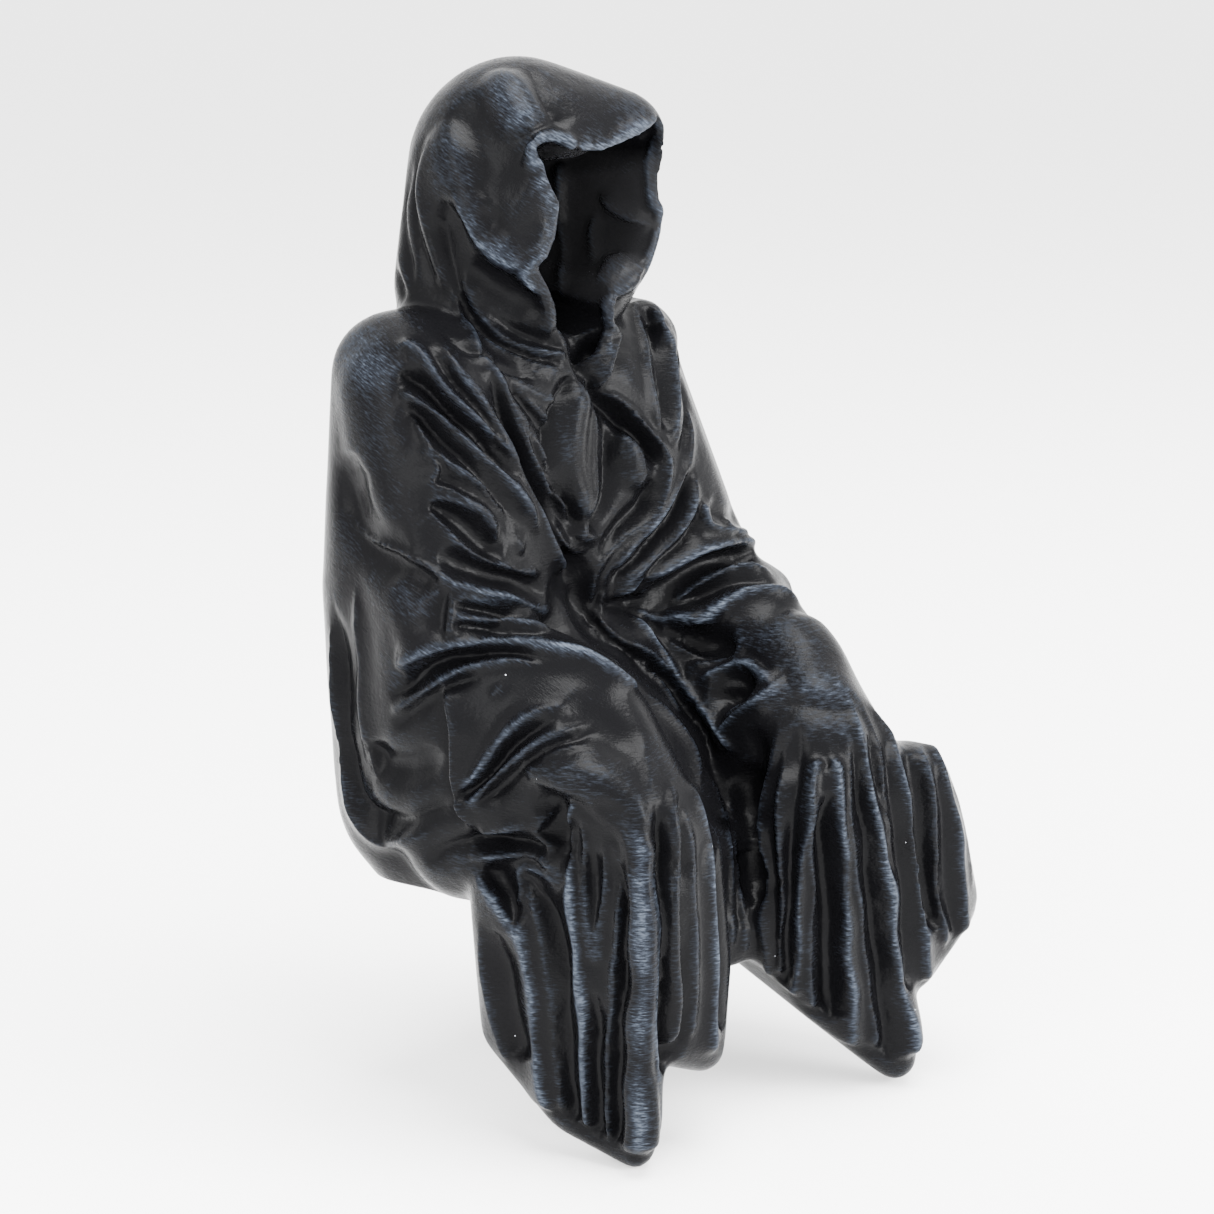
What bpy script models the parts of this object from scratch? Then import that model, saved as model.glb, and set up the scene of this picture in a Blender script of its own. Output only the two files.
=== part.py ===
"""A ghost garden statue: a seated figure under an empty hood, cast in one piece to sit on a shelf edge.

The robe's masses are hulls over ellipsoids, fused and smoothed. The hood is hollowed, the folds are
drawn as strokes on a sketch of the figure and pressed into the surface, and a notch is cut below, so
that the seat lies flat on a shelf while the robe hangs down over its edge.
"""

import math

import bmesh
import bpy
import numpy as np
from mathutils import Matrix, Vector
from mathutils.bvhtree import BVHTree

# Driving sizes, in metres
FIGURE_HEIGHT = 0.178
SHELF_EDGE_SETBACK = 0.0135
HOOD_BACK_WALL = 0.010
SEAT_FLAT_WIDTH = 0.046
SEAT_FLAT_FRONT = 0.009
SEAT_FLAT_BACK = 0.013
CLAY_GRID = 0.0011
FACET_COUNT = 9000

# The pose and the carving are drawn in units of a figure 178 high, from its lowest fold to its hood
DRAWN_HEIGHT = 178.0
UNIT = FIGURE_HEIGHT / DRAWN_HEIGHT

# The sketch that the folds are drawn on looks at the figure's right front, a little from above
SKETCH_AZIMUTH = -48.0
SKETCH_ELEVATION = 14.0
SKETCH_DISTANCE = 508.0
SKETCH_SCALE = 2866.0
SKETCH_CENTRE = (607.0, 607.0)
SKETCH_SEAT_POINT = (553.0, 845.0)

RESIN_BLACK = (0.011, 0.011, 0.014, 1.0)
RESIN_ROUGHNESS = 0.38

# Each mass is a hull over ellipsoids, given by centre and radii; x is the figure's left, y its back
MASSES = {
    "hood": [
        ((0, 7.5, 118), (19, 18.5, 19.5)),
        ((12, -3.5, 123), (10, 8.5, 9)),
        ((-8, -2, 120), (8.5, 8.5, 8.5)),
        ((13, -1, 105), (8.2, 8, 9)),
        ((-10, 0, 103), (7.5, 7.5, 8)),
        ((-0.5, 13.5, 99), (19.5, 13.5, 14)),
        ((2, 1, 93), (13, 8, 9)),
    ],
    "torso": [
        ((-27, 10, 50), (11.5, 14.5, 14)),
        ((-25, 11, 86), (11, 12, 11)),
        ((23.5, 11, 85), (10.5, 13, 11)),
        ((0, 3, 82), (20, 12, 14)),
        ((-25.5, 9.5, 15), (12.5, 13.5, 17)),
        ((26, 10, 14), (12, 14, 18)),
        ((0, 4, 44), (20, 15, 10)),
    ],
    "right arm": [
        ((-26, 8, 84), (12, 12, 12)),
        ((-30, -3, 50), (11, 11, 11)),
        ((-24, 0, 20), (16, 14, 18)),
    ],
    "left arm": [
        ((24.5, 7.5, 83), (11, 11, 11)),
        ((31, -5, 44), (12.5, 11, 12.5)),
        ((24, 0, 20), (16, 14, 18)),
    ],
    "right mantle": [
        ((-25, 3, 84), (10, 11, 10)),
        ((-29, -3, 52), (10, 10, 10)),
        ((-5, -2, 52), (8, 8, 10)),
        ((-8, 0, 82), (8, 9, 8)),
    ],
    "left mantle": [
        ((22.5, 3, 82), (9, 9.5, 9)),
        ((30, -5, 50), (10, 10, 10)),
        ((3, -2, 52), (8, 8, 10)),
        ((10, 0, 82), (8, 9, 8)),
    ],
    "breast": [
        ((1, -2, 86), (8, 6, 8)),
        ((-3, -6, 54), (6, 6, 9)),
    ],
    "right thigh": [
        ((-26, -4, 34), (14, 12, 18)),
        ((-21, -26, 28), (14, 12, 14)),
        ((-20, -39, 16), (11, 9, 12)),
        ((-24, -6, 14), (16, 12, 16)),
    ],
    "left thigh": [
        ((29, -4, 31), (13, 12, 18)),
        ((30, -26, 27), (12, 12, 14)),
        ((34, -13, 34.5), (11.5, 11, 15)),
        ((24, -41, 20), (13, 10, 12)),
        ((24, -6, 14), (16, 12, 16)),
    ],
    "lap": [
        ((0, -6, 28), (20, 12, 16)),
        ((0, -24, 10), (16, 10, 12)),
    ],
    "seat": [
        ((-24, 8, 11), (12, 13, 16)),
        ((24, 8, 11), (12, 13, 16)),
        ((-20, -14, 6), (10, 8, 12)),
        ((20, -14, 6), (10, 8, 12)),
    ],
    "right side drape": [
        ((-30, -18, 2), (7, 6, 8)),
        ((-25, -43, 8), (6, 7, 8)),
        ((-31, -18, -20), (4, 4.5, 5)),
        ((-29, -31, -30), (4, 6, 6)),
        ((-26.5, -43, -34), (3.5, 4, 5.5)),
    ],
    "right front drape": [
        ((-22, -42, 8), (6, 7, 8)),
        ((-11, -41, 10), (5, 6, 8)),
        ((-20, -44, -18), (4, 4, 5)),
        ((-11, -44, -22.5), (4, 4, 4.5)),
        ((-9, -43, -9), (5, 4, 5)),
        ((-12, -18, -8), (4, 5, 5)),
        ((-28, -18, -12), (5, 5, 6)),
    ],
    "middle drape": [
        ((-6, -32, 4), (4, 6, 8)),
        ((4, -34, 4), (5, 6, 8)),
        ((-5, -33, -10), (4, 5, 5)),
        ((6, -36, -10), (4, 5, 5)),
        ((0, -18, -4), (12, 5, 8)),
    ],
    "left inner drape": [
        ((13, -46, 14), (6, 5, 8)),
        ((26, -50, 12), (6, 6, 10)),
        ((10, -41.5, -9), (4, 5, 5)),
        ((18, -47, -22), (4, 4, 4.5)),
        ((30.5, -53.5, -34.5), (4, 4, 4.5)),
        ((30, -18, -6), (5, 5, 8)),
        ((14, -18, -6), (4, 5, 6)),
    ],
    "left outer drape": [
        ((26, -49, 12), (6, 7, 10)),
        ((37, -49.5, 11.5), (8.5, 8.5, 9.5)),
        ((35, -53.5, -19), (4, 4, 4.5)),
        ((43.5, -55, -9), (5, 5, 6)),
        ((38, -18, -2), (5, 5, 8)),
        ((30, -18, -6), (5, 5, 8)),
    ],
}

# The hood's opening as (x, z), clockwise from the near brow corner
OPENING = [
    (-12.2, 125.5), (-8, 125), (-4.5, 123.2), (0.4, 123), (5.3, 124.3), (11, 126), (16, 127.2),
    (18.3, 124.8), (16.3, 119.8), (17.1, 114.7), (18.2, 108.7), (16.2, 104.6), (12.5, 99.8),
    (8.2, 98.3), (5.5, 95.1), (7, 91), (4, 87.5), (-2.5, 88.5), (-6.3, 92), (-7, 96.6),
    (-8.8, 99.8), (-11.7, 103.8), (-8.7, 109.2), (-7.6, 114.5), (-10.6, 118.4), (-13.2, 122.5),
]
OPENING_CENTRE = (8.0, 107.5)
# The hollow runs from the hood's mouth back to the wall behind it
HOOD_MOUTH_Y = -9.0 * UNIT
HOOD_BACK_Y = 27.0 * UNIT
HOOD_HOLLOW_DEPTH = HOOD_BACK_Y - HOOD_BACK_WALL - HOOD_MOUTH_Y
# How far back each stage of the hollow lies from its mouth, as a share of its depth, and its width
HOLLOW_STAGES = [(0.0, 1.0), (0.15, 0.88), (0.6, 0.76), (1.0, 0.5)]


# Folds: how each is shaped across, its half width and height, how far it takes to rise at its start and
# to die away at its end, and the places that it runs through: two numbers on the sketch, or three in space
FOLDS = {
    "brow fold": ("roll", 7, 2.0, (6, 4), [(528, 66), (505, 95), (508, 125), (530, 150)]),
    "brow valley": ("groove", 4, 1.4, (8, 3), [(527, 64), (538, 87), (552, 112), (566, 134), (572, 146)]),
    "temple hollow": ("hollow", 7, 2.6, (8, 6), [(462, 96), (474, 128), (490, 160), (514, 178)]),
    "cheek roll": ("roll", 5, 1.4, (5, 4), [(486, 182), (510, 200), (540, 208)]),
    "cheek line": ("crest", 3.4, 1.5, (8, 3), [(452, 186), (462, 215), (478, 240), (499, 256), (522, 266)]),
    "nape line": ("crest", 2.6, 1.1, (10, 6), [(432, 130), (420, 184), (424, 225), (434, 256), (452, 292)]),
    "nape valley": ("groove", 2.6, 1.2, (10, 6), [(420, 140), (408, 190), (408, 240), (420, 290)]),
    "collar hollow": ("hollow", 4, 1.8, (8, 4), [(470, 262), (492, 284), (516, 300), (540, 316)]),
    "collar fold": ("crest", 2.6, 1.5, (8, 3), [(456, 274), (468, 312), (494, 341), (532, 358), (560, 362)]),
    "far rim hollow": ("hollow", 4, 1.6, (6, 1), [(26, 0, 119), (20, -6, 119), (17, -10, 119.5)]),
    "collar gap": ("groove", 3, 2.6, (2, 5), [(588, 346), (592, 368), (606, 398), (632, 428)]),
    "lapel edge": ("crest", 2.6, 2.0, (4, 8), [(398, 356), (408, 349), (435, 374), (468, 414), (522, 476)]),
    "lapel pocket": (
        "groove", 3.2, 2.8, (4, 8),
        [(400, 366), (422, 388), (453, 417), (488, 449), (516, 482)],
    ),
    "second fold": ("crest", 2.6, 1.9, (4, 8), [(398, 390), (422, 404), (462, 438), (497, 472), (538, 540)]),
    "second pocket": ("groove", 3, 2.4, (4, 6), [(404, 402), (430, 432), (466, 466), (500, 502), (522, 546)]),
    "third fold": ("crest", 2.4, 1.6, (6, 4), [(406, 412), (426, 440), (452, 464), (486, 490), (524, 558)]),
    "sleeve leaf": ("hollow", 3.6, 2.4, (3, 4), [(428, 504), (452, 518), (480, 538), (504, 556)]),
    "leaf rim": ("crest", 2.4, 1.6, (3, 5), [(427, 508), (452, 539), (486, 560), (516, 571), (540, 576)]),
    "mantle edge": ("crest", 3, 2.0, (14, 6), [(345, 510), (369, 538), (428, 566), (476, 592), (552, 610)]),
    "neck fold": ("crest", 2.6, 1.7, (8, 6), [(457, 296), (470, 340), (500, 388), (545, 484), (572, 520)]),
    "neck valley": ("groove", 3, 2.4, (8, 3), [(486, 372), (524, 458), (545, 506), (566, 552), (574, 580)]),
    "breast fold": ("crest", 2.4, 1.6, (10, 5), [(440, 342), (468, 386), (498, 430), (524, 478), (564, 578)]),
    "near leaf edge": (
        "groove", 2.4, 2.4, (3, 4),
        [(574, 372), (552, 430), (552, 477), (567, 508), (584, 534)],
    ),
    "breast leaf": ("roll", 4, 1.8, (4, 5), [(584, 384), (574, 420), (572, 470), (588, 520)]),
    "far leaf edge": ("groove", 2.4, 2.4, (3, 4), [(592, 386), (614, 432), (610, 476), (590, 536)]),
    "far lapel": ("crest", 2.4, 1.6, (3, 6), [(606, 390), (662, 446), (664, 486), (626, 534), (590, 612)]),
    "waist gather": ("groove", 4, 3.0, (4, 6), [(566, 560), (578, 592), (590, 620), (612, 642)]),
    "left lapel fold": ("crest", 2.4, 1.5, (6, 4), [(652, 302), (668, 344), (674, 390), (671, 446)]),
    "left lapel valley": ("groove", 2.4, 1.6, (6, 4), [(664, 310), (686, 375), (692, 425), (680, 462)]),
    "left gather": ("crest", 2.6, 1.8, (6, 5), [(690, 466), (674, 514), (642, 554), (606, 582)]),
    "left gather valley": ("groove", 2.4, 1.8, (6, 4), [(700, 490), (688, 530), (656, 566), (620, 596)]),
    "elbow fold": ("crest", 2.8, 2.0, (8, 5), [(756, 544), (718, 546), (684, 556), (648, 575), (606, 602)]),
    "elbow valley": ("hollow", 3.4, 2.2, (6, 4), [(752, 558), (715, 566), (680, 584), (640, 600)]),
    "forearm fold": ("crest", 3, 2.2, (8, 3), [(786, 590), (753, 590), (712, 606), (676, 613), (634, 608)]),
    "lap seam": ("groove", 3.2, 2.8, (4, 8), [(588, 614), (638, 656), (694, 714), (712, 752), (730, 810)]),
    "lap ridge": ("crest", 2.6, 1.7, (6, 8), [(590, 606), (612, 634), (644, 652), (676, 680), (722, 752)]),
    "pocket rim": ("crest", 2.6, 1.8, (5, 6), [(628, 614), (650, 642), (676, 676), (708, 716), (736, 756)]),
    "far pocket rim": ("crest", 2.6, 1.8, (4, 8), [(716, 746), (736, 716), (762, 700), (784, 672)]),
    "lap hollow": ("hollow", 4.5, 2.4, (5, 6), [(664, 632), (700, 642), (738, 650)]),
    "knee gap": ("hollow", 4.5, 2.6, (6, 6), [(752, 725), (752, 770), (753, 840), (756, 910)]),
    "cuff hollow": ("hollow", 3, 1.8, (3, 5), [(448, 640), (500, 638), (555, 642)]),
    "thigh arch": ("crest", 3.2, 2.2, (10, 10), [(394, 668), (466, 644), (515, 644), (588, 663), (665, 712)]),
    "thigh valley": (
        "groove", 3.2, 2.4, (8, 8),
        [(390, 700), (420, 678), (460, 658), (506, 653), (552, 660)],
    ),
    "knee fold": ("crest", 3, 2.0, (4, 10), [(462, 800), (488, 772), (524, 738), (560, 718), (590, 712)]),
    "knee valley": ("groove", 2.8, 1.8, (4, 8), [(480, 804), (520, 770), (565, 742), (600, 730)]),
    "knee arch": ("roll", 5, 2.0, (10, 8), [(520, 770), (560, 776), (602, 788), (632, 812), (645, 845)]),
    "under arch": ("hollow", 5, 2.6, (6, 6), [(530, 806), (556, 812), (560, 850)]),
    "side crest": ("crest", 3.4, 2.4, (5, 0), [(474, 862), (504, 908), (530, 972), (542, 1071), (552, 1112)]),
    "side valley": ("groove", 3.4, 2.4, (8, 0), [(534, 880), (556, 930), (566, 1000), (571, 1125)]),
    "second crest": (
        "crest", 3.2, 2.8, (6, 0),
        [(580, 798), (570, 852), (582, 961), (585, 1029), (588, 1130)],
    ),
    "second valley": ("groove", 3, 2.4, (10, 0), [(600, 850), (602, 930), (600, 1040), (600, 1142)]),
    "front pipe": ("pipe", 3, 2.8, (16, 0), [(640, 818), (643, 900), (643, 970), (640, 1054), (638, 1155)]),
    "pipe valley": ("groove", 3, 3.2, (14, 0), [(656, 800), (662, 860), (664, 940), (665, 1082)]),
    "face roll": ("roll", 3, 1.6, (12, 0), [(672, 780), (673, 860), (671, 940), (672, 1045)]),
    "face crest": ("crest", 2.8, 2.2, (12, 0), [(684, 765), (700, 820), (708, 886), (709, 970), (712, 1055)]),
    "face valley": ("groove", 2.2, 1.8, (12, 0), [(712, 800), (719, 860), (720, 920), (721, 1030)]),
    "inner crest": ("crest", 2.2, 1.4, (14, 0), [(722, 775), (736, 850), (740, 910), (743, 962)]),
    "left first crest": ("crest", 2.4, 1.8, (10, 0), [(780, 722), (770, 792), (768, 850), (775, 976)]),
    "left first valley": ("groove", 3.4, 2.4, (14, 0), [(800, 720), (794, 800), (789, 880), (788, 985)]),
    "left second crest": ("crest", 2.8, 2.2, (6, 0), [(824, 764), (810, 800), (804, 870), (802, 1000)]),
    "left second valley": ("hollow", 3.2, 2.4, (10, 0), [(826, 790), (826, 850), (828, 920), (832, 1020)]),
    "left third crest": ("crest", 2.8, 2.4, (6, 0), [(826, 762), (840, 824), (848, 920), (858, 1046)]),
    "left third valley": ("groove", 3, 2.4, (14, 0), [(852, 740), (862, 810), (870, 880), (890, 1060)]),
    "left knee crest": ("crest", 3.4, 2.8, (14, 0), [(846, 690), (862, 765), (885, 879), (912, 1056)]),
    "left knee valley": ("groove", 3, 2.2, (12, 0), [(880, 740), (896, 810), (904, 880), (908, 990)]),
    "left outer crest": ("crest", 2.8, 2.2, (12, 0), [(868, 700), (890, 748), (914, 847), (929, 984)]),
    "left outer hollow": ("hollow", 4, 2.0, (8, 0), [(906, 752), (920, 800), (926, 860), (932, 930)]),
    "left side crest": (
        "crest", 2.6, 1.9, (8, 0),
        [(924, 744), (940, 790), (946, 847), (950, 900), (956, 940)],
    ),
    "cloak groove": ("groove", 3, 1.8, (12, 5), [(334, 600), (347, 740), (360, 798), (388, 822), (455, 794)]),
    "cloak hem": ("crest", 2.6, 1.3, (14, 8), [(331, 620), (345, 770), (356, 816), (386, 842), (432, 832)]),
    "cloak fold": ("crest", 3, 1.4, (14, 8), [(356, 580), (362, 650), (367, 720), (376, 780)]),
    "cloak hollow": ("hollow", 4, 1.5, (10, 8), [(338, 460), (347, 510), (374, 550), (408, 562)]),
}

# Runs of like folds on the sides that the sketch doesn't show, spread evenly from a first line to a last one
RUNS = {
    "back": (
        "crest", 4, 2.2, 8,
        [(-18, 34, 92), (-24, 36, 62), (-23, 36, 34), (-30, 34, 4)],
        [(18, 34, 92), (22, 36, 62), (29, 36, 34), (30, 34, 4)],
    ),
    "left sleeve": (
        "crest", 3.6, 2.0, 5,
        [(40, 14, 92), (44, 12, 62), (46, 2, 38), (46, -14, 18)],
        [(34, -4, 86), (42, -8, 54), (46, -20, 36), (46, -36, 22)],
    ),
    "left leg side": (
        "crest", 3, 2.2, 5,
        [(48, -20, 16), (50, -21, 2), (50, -20, -14)],
        [(50, -50, 14), (54, -52, 0), (52, -54, -14)],
    ),
    "hood left side": (
        "crest", 3.2, 1.4, 5,
        [(24, 0, 126), (26, 2, 112), (24, 4, 96)],
        [(6, 30, 126), (10, 34, 110), (14, 30, 94)],
    ),
}
RUN_FADE = (8, 5)
# How much the folds of a run differ from one another
FOLD_VARIETY = 0.3
# How finely a fold's line is walked, in drawn units, and the steps that each stretch of it takes
LINE_STEP = 0.5
LINE_STEPS = 8
# A step this long takes a line off the cloth that it runs on, so the line is cut there
LINE_LEAP = 7.0
# How wide each shape is as a share of its half width, how it falls away (near 1 is a sharp line, 3 a
# round one, 5 a flat top with steep sides), and whether it stands out or sinks in
SECTIONS = {
    "roll": (0.75, 2.8, 1),
    "hollow": (0.75, 2.8, -1),
    "pipe": (0.95, 5.0, 1),
    "crest": (0.62, 1.3, 1),
    "groove": (0.6, 1.35, -1),
}
# How far a fold pulls the cloth, in widths of its section, and what every height is multiplied by
FOLD_REACH = 3.4
FOLD_DEPTH = 1.2
# How blunt the sharpest line is
LINE_BLUNTNESS = 0.05
# How squarely the cloth has to face a fold before the fold pulls it fully
FULL_FACING = 0.4
# How much of its width a fold keeps where it dies away
END_WIDTH = 0.5


def add_hull(clay, ellipsoids):
    """Adds the convex hull over a few ellipsoids to the clay."""
    mass = bmesh.new()
    for centre, radii in ellipsoids:
        place = Matrix.Translation(Vector(centre) * UNIT)
        place = place @ Matrix.Diagonal((*(r * UNIT for r in radii), 1.0))
        bmesh.ops.create_icosphere(mass, subdivisions=3, radius=1.0, matrix=place)
    hull = bmesh.ops.convex_hull(mass, input=mass.verts[:])
    inside = {v for v in hull["geom_interior"] if isinstance(v, bmesh.types.BMVert)}
    bmesh.ops.delete(mass, geom=list(inside), context="VERTS")
    shape = bpy.data.meshes.new("mass")
    mass.to_mesh(shape)
    mass.free()
    clay.from_mesh(shape)
    bpy.data.meshes.remove(shape)


def object_of(name, mesh, collection):
    """A new object with the bmesh's shape."""
    data = bpy.data.meshes.new(name)
    mesh.to_mesh(data)
    mesh.free()
    made = bpy.data.objects.new(name, data)
    collection.objects.link(made)
    return made


def settle(obj):
    """Gives the object its evaluated mesh and drops its modifiers."""
    bpy.context.view_layer.update()
    graph = bpy.context.evaluated_depsgraph_get()
    data = bpy.data.meshes.new_from_object(obj.evaluated_get(graph))
    obj.modifiers.clear()
    obj.data = data


def fuse(obj, grid, rounds):
    """Fuses what overlaps into one skin of even quads, then relaxes it."""
    remesh = obj.modifiers.new("fuse", "REMESH")
    remesh.mode = "VOXEL"
    remesh.voxel_size = grid
    if rounds:
        relax = obj.modifiers.new("relax", "SMOOTH")
        relax.factor = 0.5
        relax.iterations = rounds
    settle(obj)


def hollow_cutter(collection):
    """The hood's hollow: its opening drawn back into the hood, closing in with depth."""
    cutter = bmesh.new()
    centre = Vector((OPENING_CENTRE[0] * UNIT, 0, OPENING_CENTRE[1] * UNIT))
    front_y = HOOD_MOUTH_Y - HOOD_HOLLOW_DEPTH
    outline = [cutter.verts.new((x * UNIT, front_y, z * UNIT)) for x, z in OPENING]
    face = cutter.faces.new(outline)
    depth_before = -HOOD_HOLLOW_DEPTH
    width_before = 1.0
    for share, width in HOLLOW_STAGES:
        depth = share * HOOD_HOLLOW_DEPTH
        grown = bmesh.ops.extrude_face_region(cutter, geom=[face])["geom"]
        if share > 0:
            bmesh.ops.delete(cutter, geom=[face], context="FACES_ONLY")
        edge = [item for item in grown if isinstance(item, bmesh.types.BMVert)]
        face = next(item for item in grown if isinstance(item, bmesh.types.BMFace))
        bmesh.ops.translate(cutter, verts=edge, vec=(0, depth - depth_before, 0))
        bmesh.ops.scale(
            cutter, verts=edge, vec=(width / width_before, 1, width / width_before),
            space=Matrix.Translation(-centre),
        )
        depth_before = depth
        width_before = width
    bmesh.ops.recalc_face_normals(cutter, faces=cutter.faces[:])
    return hidden(object_of("hood_hollow", cutter, collection))


def notch_cutter(collection):
    """The room for a shelf under the seat and behind the hanging robe, scored around the seat's flat."""
    cutter = bmesh.new()
    middle = Vector((0, FIGURE_HEIGHT / 2 - SHELF_EDGE_SETBACK, -FIGURE_HEIGHT / 2))
    place = Matrix.Translation(middle) @ Matrix.Scale(FIGURE_HEIGHT, 4)
    bmesh.ops.create_cube(cutter, size=1.0, matrix=place)
    scores = [
        ((-SEAT_FLAT_WIDTH / 2, 0, 0), (1, 0, 0)),
        ((SEAT_FLAT_WIDTH / 2, 0, 0), (1, 0, 0)),
        ((0, -SEAT_FLAT_FRONT, 0), (0, 1, 0)),
        ((0, SEAT_FLAT_BACK, 0), (0, 1, 0)),
    ]
    for point, normal in scores:
        geometry = cutter.verts[:] + cutter.edges[:] + cutter.faces[:]
        bmesh.ops.bisect_plane(cutter, geom=geometry, plane_co=point, plane_no=normal)
    return hidden(object_of("shelf_notch", cutter, collection))


def facet(obj):
    """Thins the skin to the facets that its shape needs."""
    facets = sum(len(face.vertices) - 2 for face in obj.data.polygons)
    thin = obj.modifiers.new("thin", "DECIMATE")
    thin.ratio = min(1.0, FACET_COUNT / facets)
    settle(obj)


def black_resin():
    """The black painted casting resin."""
    resin = bpy.data.materials.new("black_resin")
    resin.use_nodes = True
    shader = resin.node_tree.nodes["Principled BSDF"]
    shader.inputs["Base Color"].default_value = RESIN_BLACK
    shader.inputs["Roughness"].default_value = RESIN_ROUGHNESS
    shader.inputs["Metallic"].default_value = 0.0
    return resin


def hidden(cutter):
    """Keeps a cutter out of renders and draws it as wire."""
    cutter.hide_render = True
    cutter.display_type = "WIRE"
    return cutter


def cut(obj, cutter):
    """Cuts one shape out of an object."""
    boolean = obj.modifiers.new(cutter.name, "BOOLEAN")
    boolean.operation = "DIFFERENCE"
    boolean.object = cutter
    settle(obj)


class Surface:
    """The skin that the folds are pressed into, in metres, as arrays and as a tree for casting onto."""

    def __init__(self, obj):
        mesh = obj.data
        self.mesh = mesh
        count = len(mesh.vertices)
        flat = np.empty(count * 3, np.float32)
        mesh.vertices.foreach_get("co", flat)
        self.points = flat.reshape(-1, 3).astype(np.float64)
        mesh.vertex_normals.foreach_get("vector", flat)
        self.normals = flat.reshape(-1, 3).astype(np.float64)
        shape = bmesh.new()
        shape.from_mesh(mesh)
        self.tree = BVHTree.FromBMesh(shape)
        shape.free()
        self.pull = np.ones(count)
        self.lift = np.zeros(count)

    def press(self):
        """Moves each point along its normal by what the folds ask for, each weighed by its pull."""
        moved = self.points + self.normals * (self.lift / self.pull)[:, None]
        self.mesh.vertices.foreach_set("co", moved.astype(np.float32).reshape(-1))
        self.mesh.update()


def sketch_axes():
    """The sketch's right, up and forward directions."""
    azimuth = math.radians(SKETCH_AZIMUTH)
    elevation = math.radians(SKETCH_ELEVATION)
    right = Vector((math.cos(azimuth), math.sin(azimuth), 0))
    forward = Vector(
        (
            -math.sin(azimuth) * math.cos(elevation),
            math.cos(azimuth) * math.cos(elevation),
            -math.sin(elevation),
        )
    )
    return right, right.cross(forward), forward


def dropped(surface, place):
    """The point of the surface that a fold's place falls on, with its normal."""
    if len(place) == 3:
        hit, normal, _, _ = surface.tree.find_nearest(Vector(place) * UNIT)
        return hit, normal
    right, up, forward = sketch_axes()
    per_unit = SKETCH_DISTANCE / SKETCH_SCALE
    seat_across = (SKETCH_SEAT_POINT[0] - SKETCH_CENTRE[0]) * per_unit
    seat_down = (SKETCH_SEAT_POINT[1] - SKETCH_CENTRE[1]) * per_unit
    eye = -forward * SKETCH_DISTANCE - right * seat_across + up * seat_down
    across = (place[0] - SKETCH_CENTRE[0]) / SKETCH_SCALE
    down = (place[1] - SKETCH_CENTRE[1]) / SKETCH_SCALE
    ray = (forward + right * across - up * down).normalized()
    hit, normal, _, _ = surface.tree.ray_cast(eye * UNIT, ray)
    if hit is None:
        closest = eye + ray * SKETCH_DISTANCE
        hit, normal, _, _ = surface.tree.find_nearest(closest * UNIT)
    return hit, normal


def smooth_line(points, steps):
    """A Catmull-Rom curve through a few points, as an array."""
    points = [2 * points[0] - points[1], *points, 2 * points[-1] - points[-2]]
    line = []
    for before, start, end, after in zip(points, points[1:], points[2:], points[3:]):
        for t in np.arange(steps) / steps:
            bend = (2 * before - 5 * start + 4 * end - after) * t * t
            swing = (3 * start - before - 3 * end + after) * t ** 3
            line.append((2 * start + (end - before) * t + bend + swing) / 2)
    line.append(points[-2])
    return np.array(line)


def evenly(rows, at, marks):
    """Rows of numbers read off at evenly spaced marks along a line."""
    return np.stack([np.interp(marks, at, column) for column in np.asarray(rows).T], axis=1)


def press_fold(surface, kind, half_width, height, fade, line):
    """Pulls the surface towards one fold's height, the more the nearer a point lies to its line."""
    spread, power, sign = SECTIONS[kind]
    drawn = [np.array(place, float) for place in line]
    places = [dropped(surface, place) for place in smooth_line(drawn, LINE_STEPS)]
    points = np.array([point for point, _ in places])
    normals = np.array([normal for _, normal in places])
    leaps = np.flatnonzero(np.linalg.norm(np.diff(points, axis=0), axis=1) > LINE_LEAP * UNIT) + 1
    longest = max(np.split(np.arange(len(points)), leaps), key=len)
    points = points[longest]
    normals = normals[longest]
    at = np.concatenate([[0], np.cumsum(np.linalg.norm(np.diff(points, axis=0), axis=1))])
    marks = np.linspace(0, at[-1], max(4, int(at[-1] / (LINE_STEP * UNIT))))
    points = evenly(points, at, marks)
    normals = evenly(normals, at, marks)
    start, end = (max(length, LINE_STEP) * UNIT for length in fade)
    rise = np.clip(marks / start, 0, 1) * np.clip((marks[-1] - marks) / end, 0, 1)
    rise = rise * (2 - rise)
    widths = half_width * spread * UNIT * (END_WIDTH + (1 - END_WIDTH) * rise)
    reach = FOLD_REACH * widths.max()
    low = points.min(axis=0) - reach
    high = points.max(axis=0) + reach
    near = np.flatnonzero(((surface.points > low) & (surface.points < high)).all(axis=1))
    if not len(near):
        return
    gaps = np.linalg.norm(surface.points[near][:, None] - points[None], axis=2)
    closest = gaps.argmin(axis=1)
    share = gaps.min(axis=1) / widths[closest]
    facing = np.einsum("ij,ij->i", surface.normals[near], normals[closest])
    window = np.clip(1 - (share / FOLD_REACH) ** 2, 0, 1) ** 2 * np.clip(facing / FULL_FACING, 0, 1)
    pull = rise[closest] * window / (share ** power + LINE_BLUNTNESS)
    surface.pull[near] += pull
    surface.lift[near] += pull * sign * height * FOLD_DEPTH * UNIT * rise[closest]


def press_run(surface, kind, half_width, height, count, first, last):
    """Presses like folds side by side, spread from a first line to a last one, no two quite alike."""
    for index in range(count):
        share = index / (count - 1)
        line = np.array(first, float) * (1 - share) + np.array(last, float) * share
        vary = 1 + FOLD_VARIETY * math.sin(2.4 * index)
        press_fold(surface, kind, half_width * vary, height * vary, RUN_FADE, line)


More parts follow.
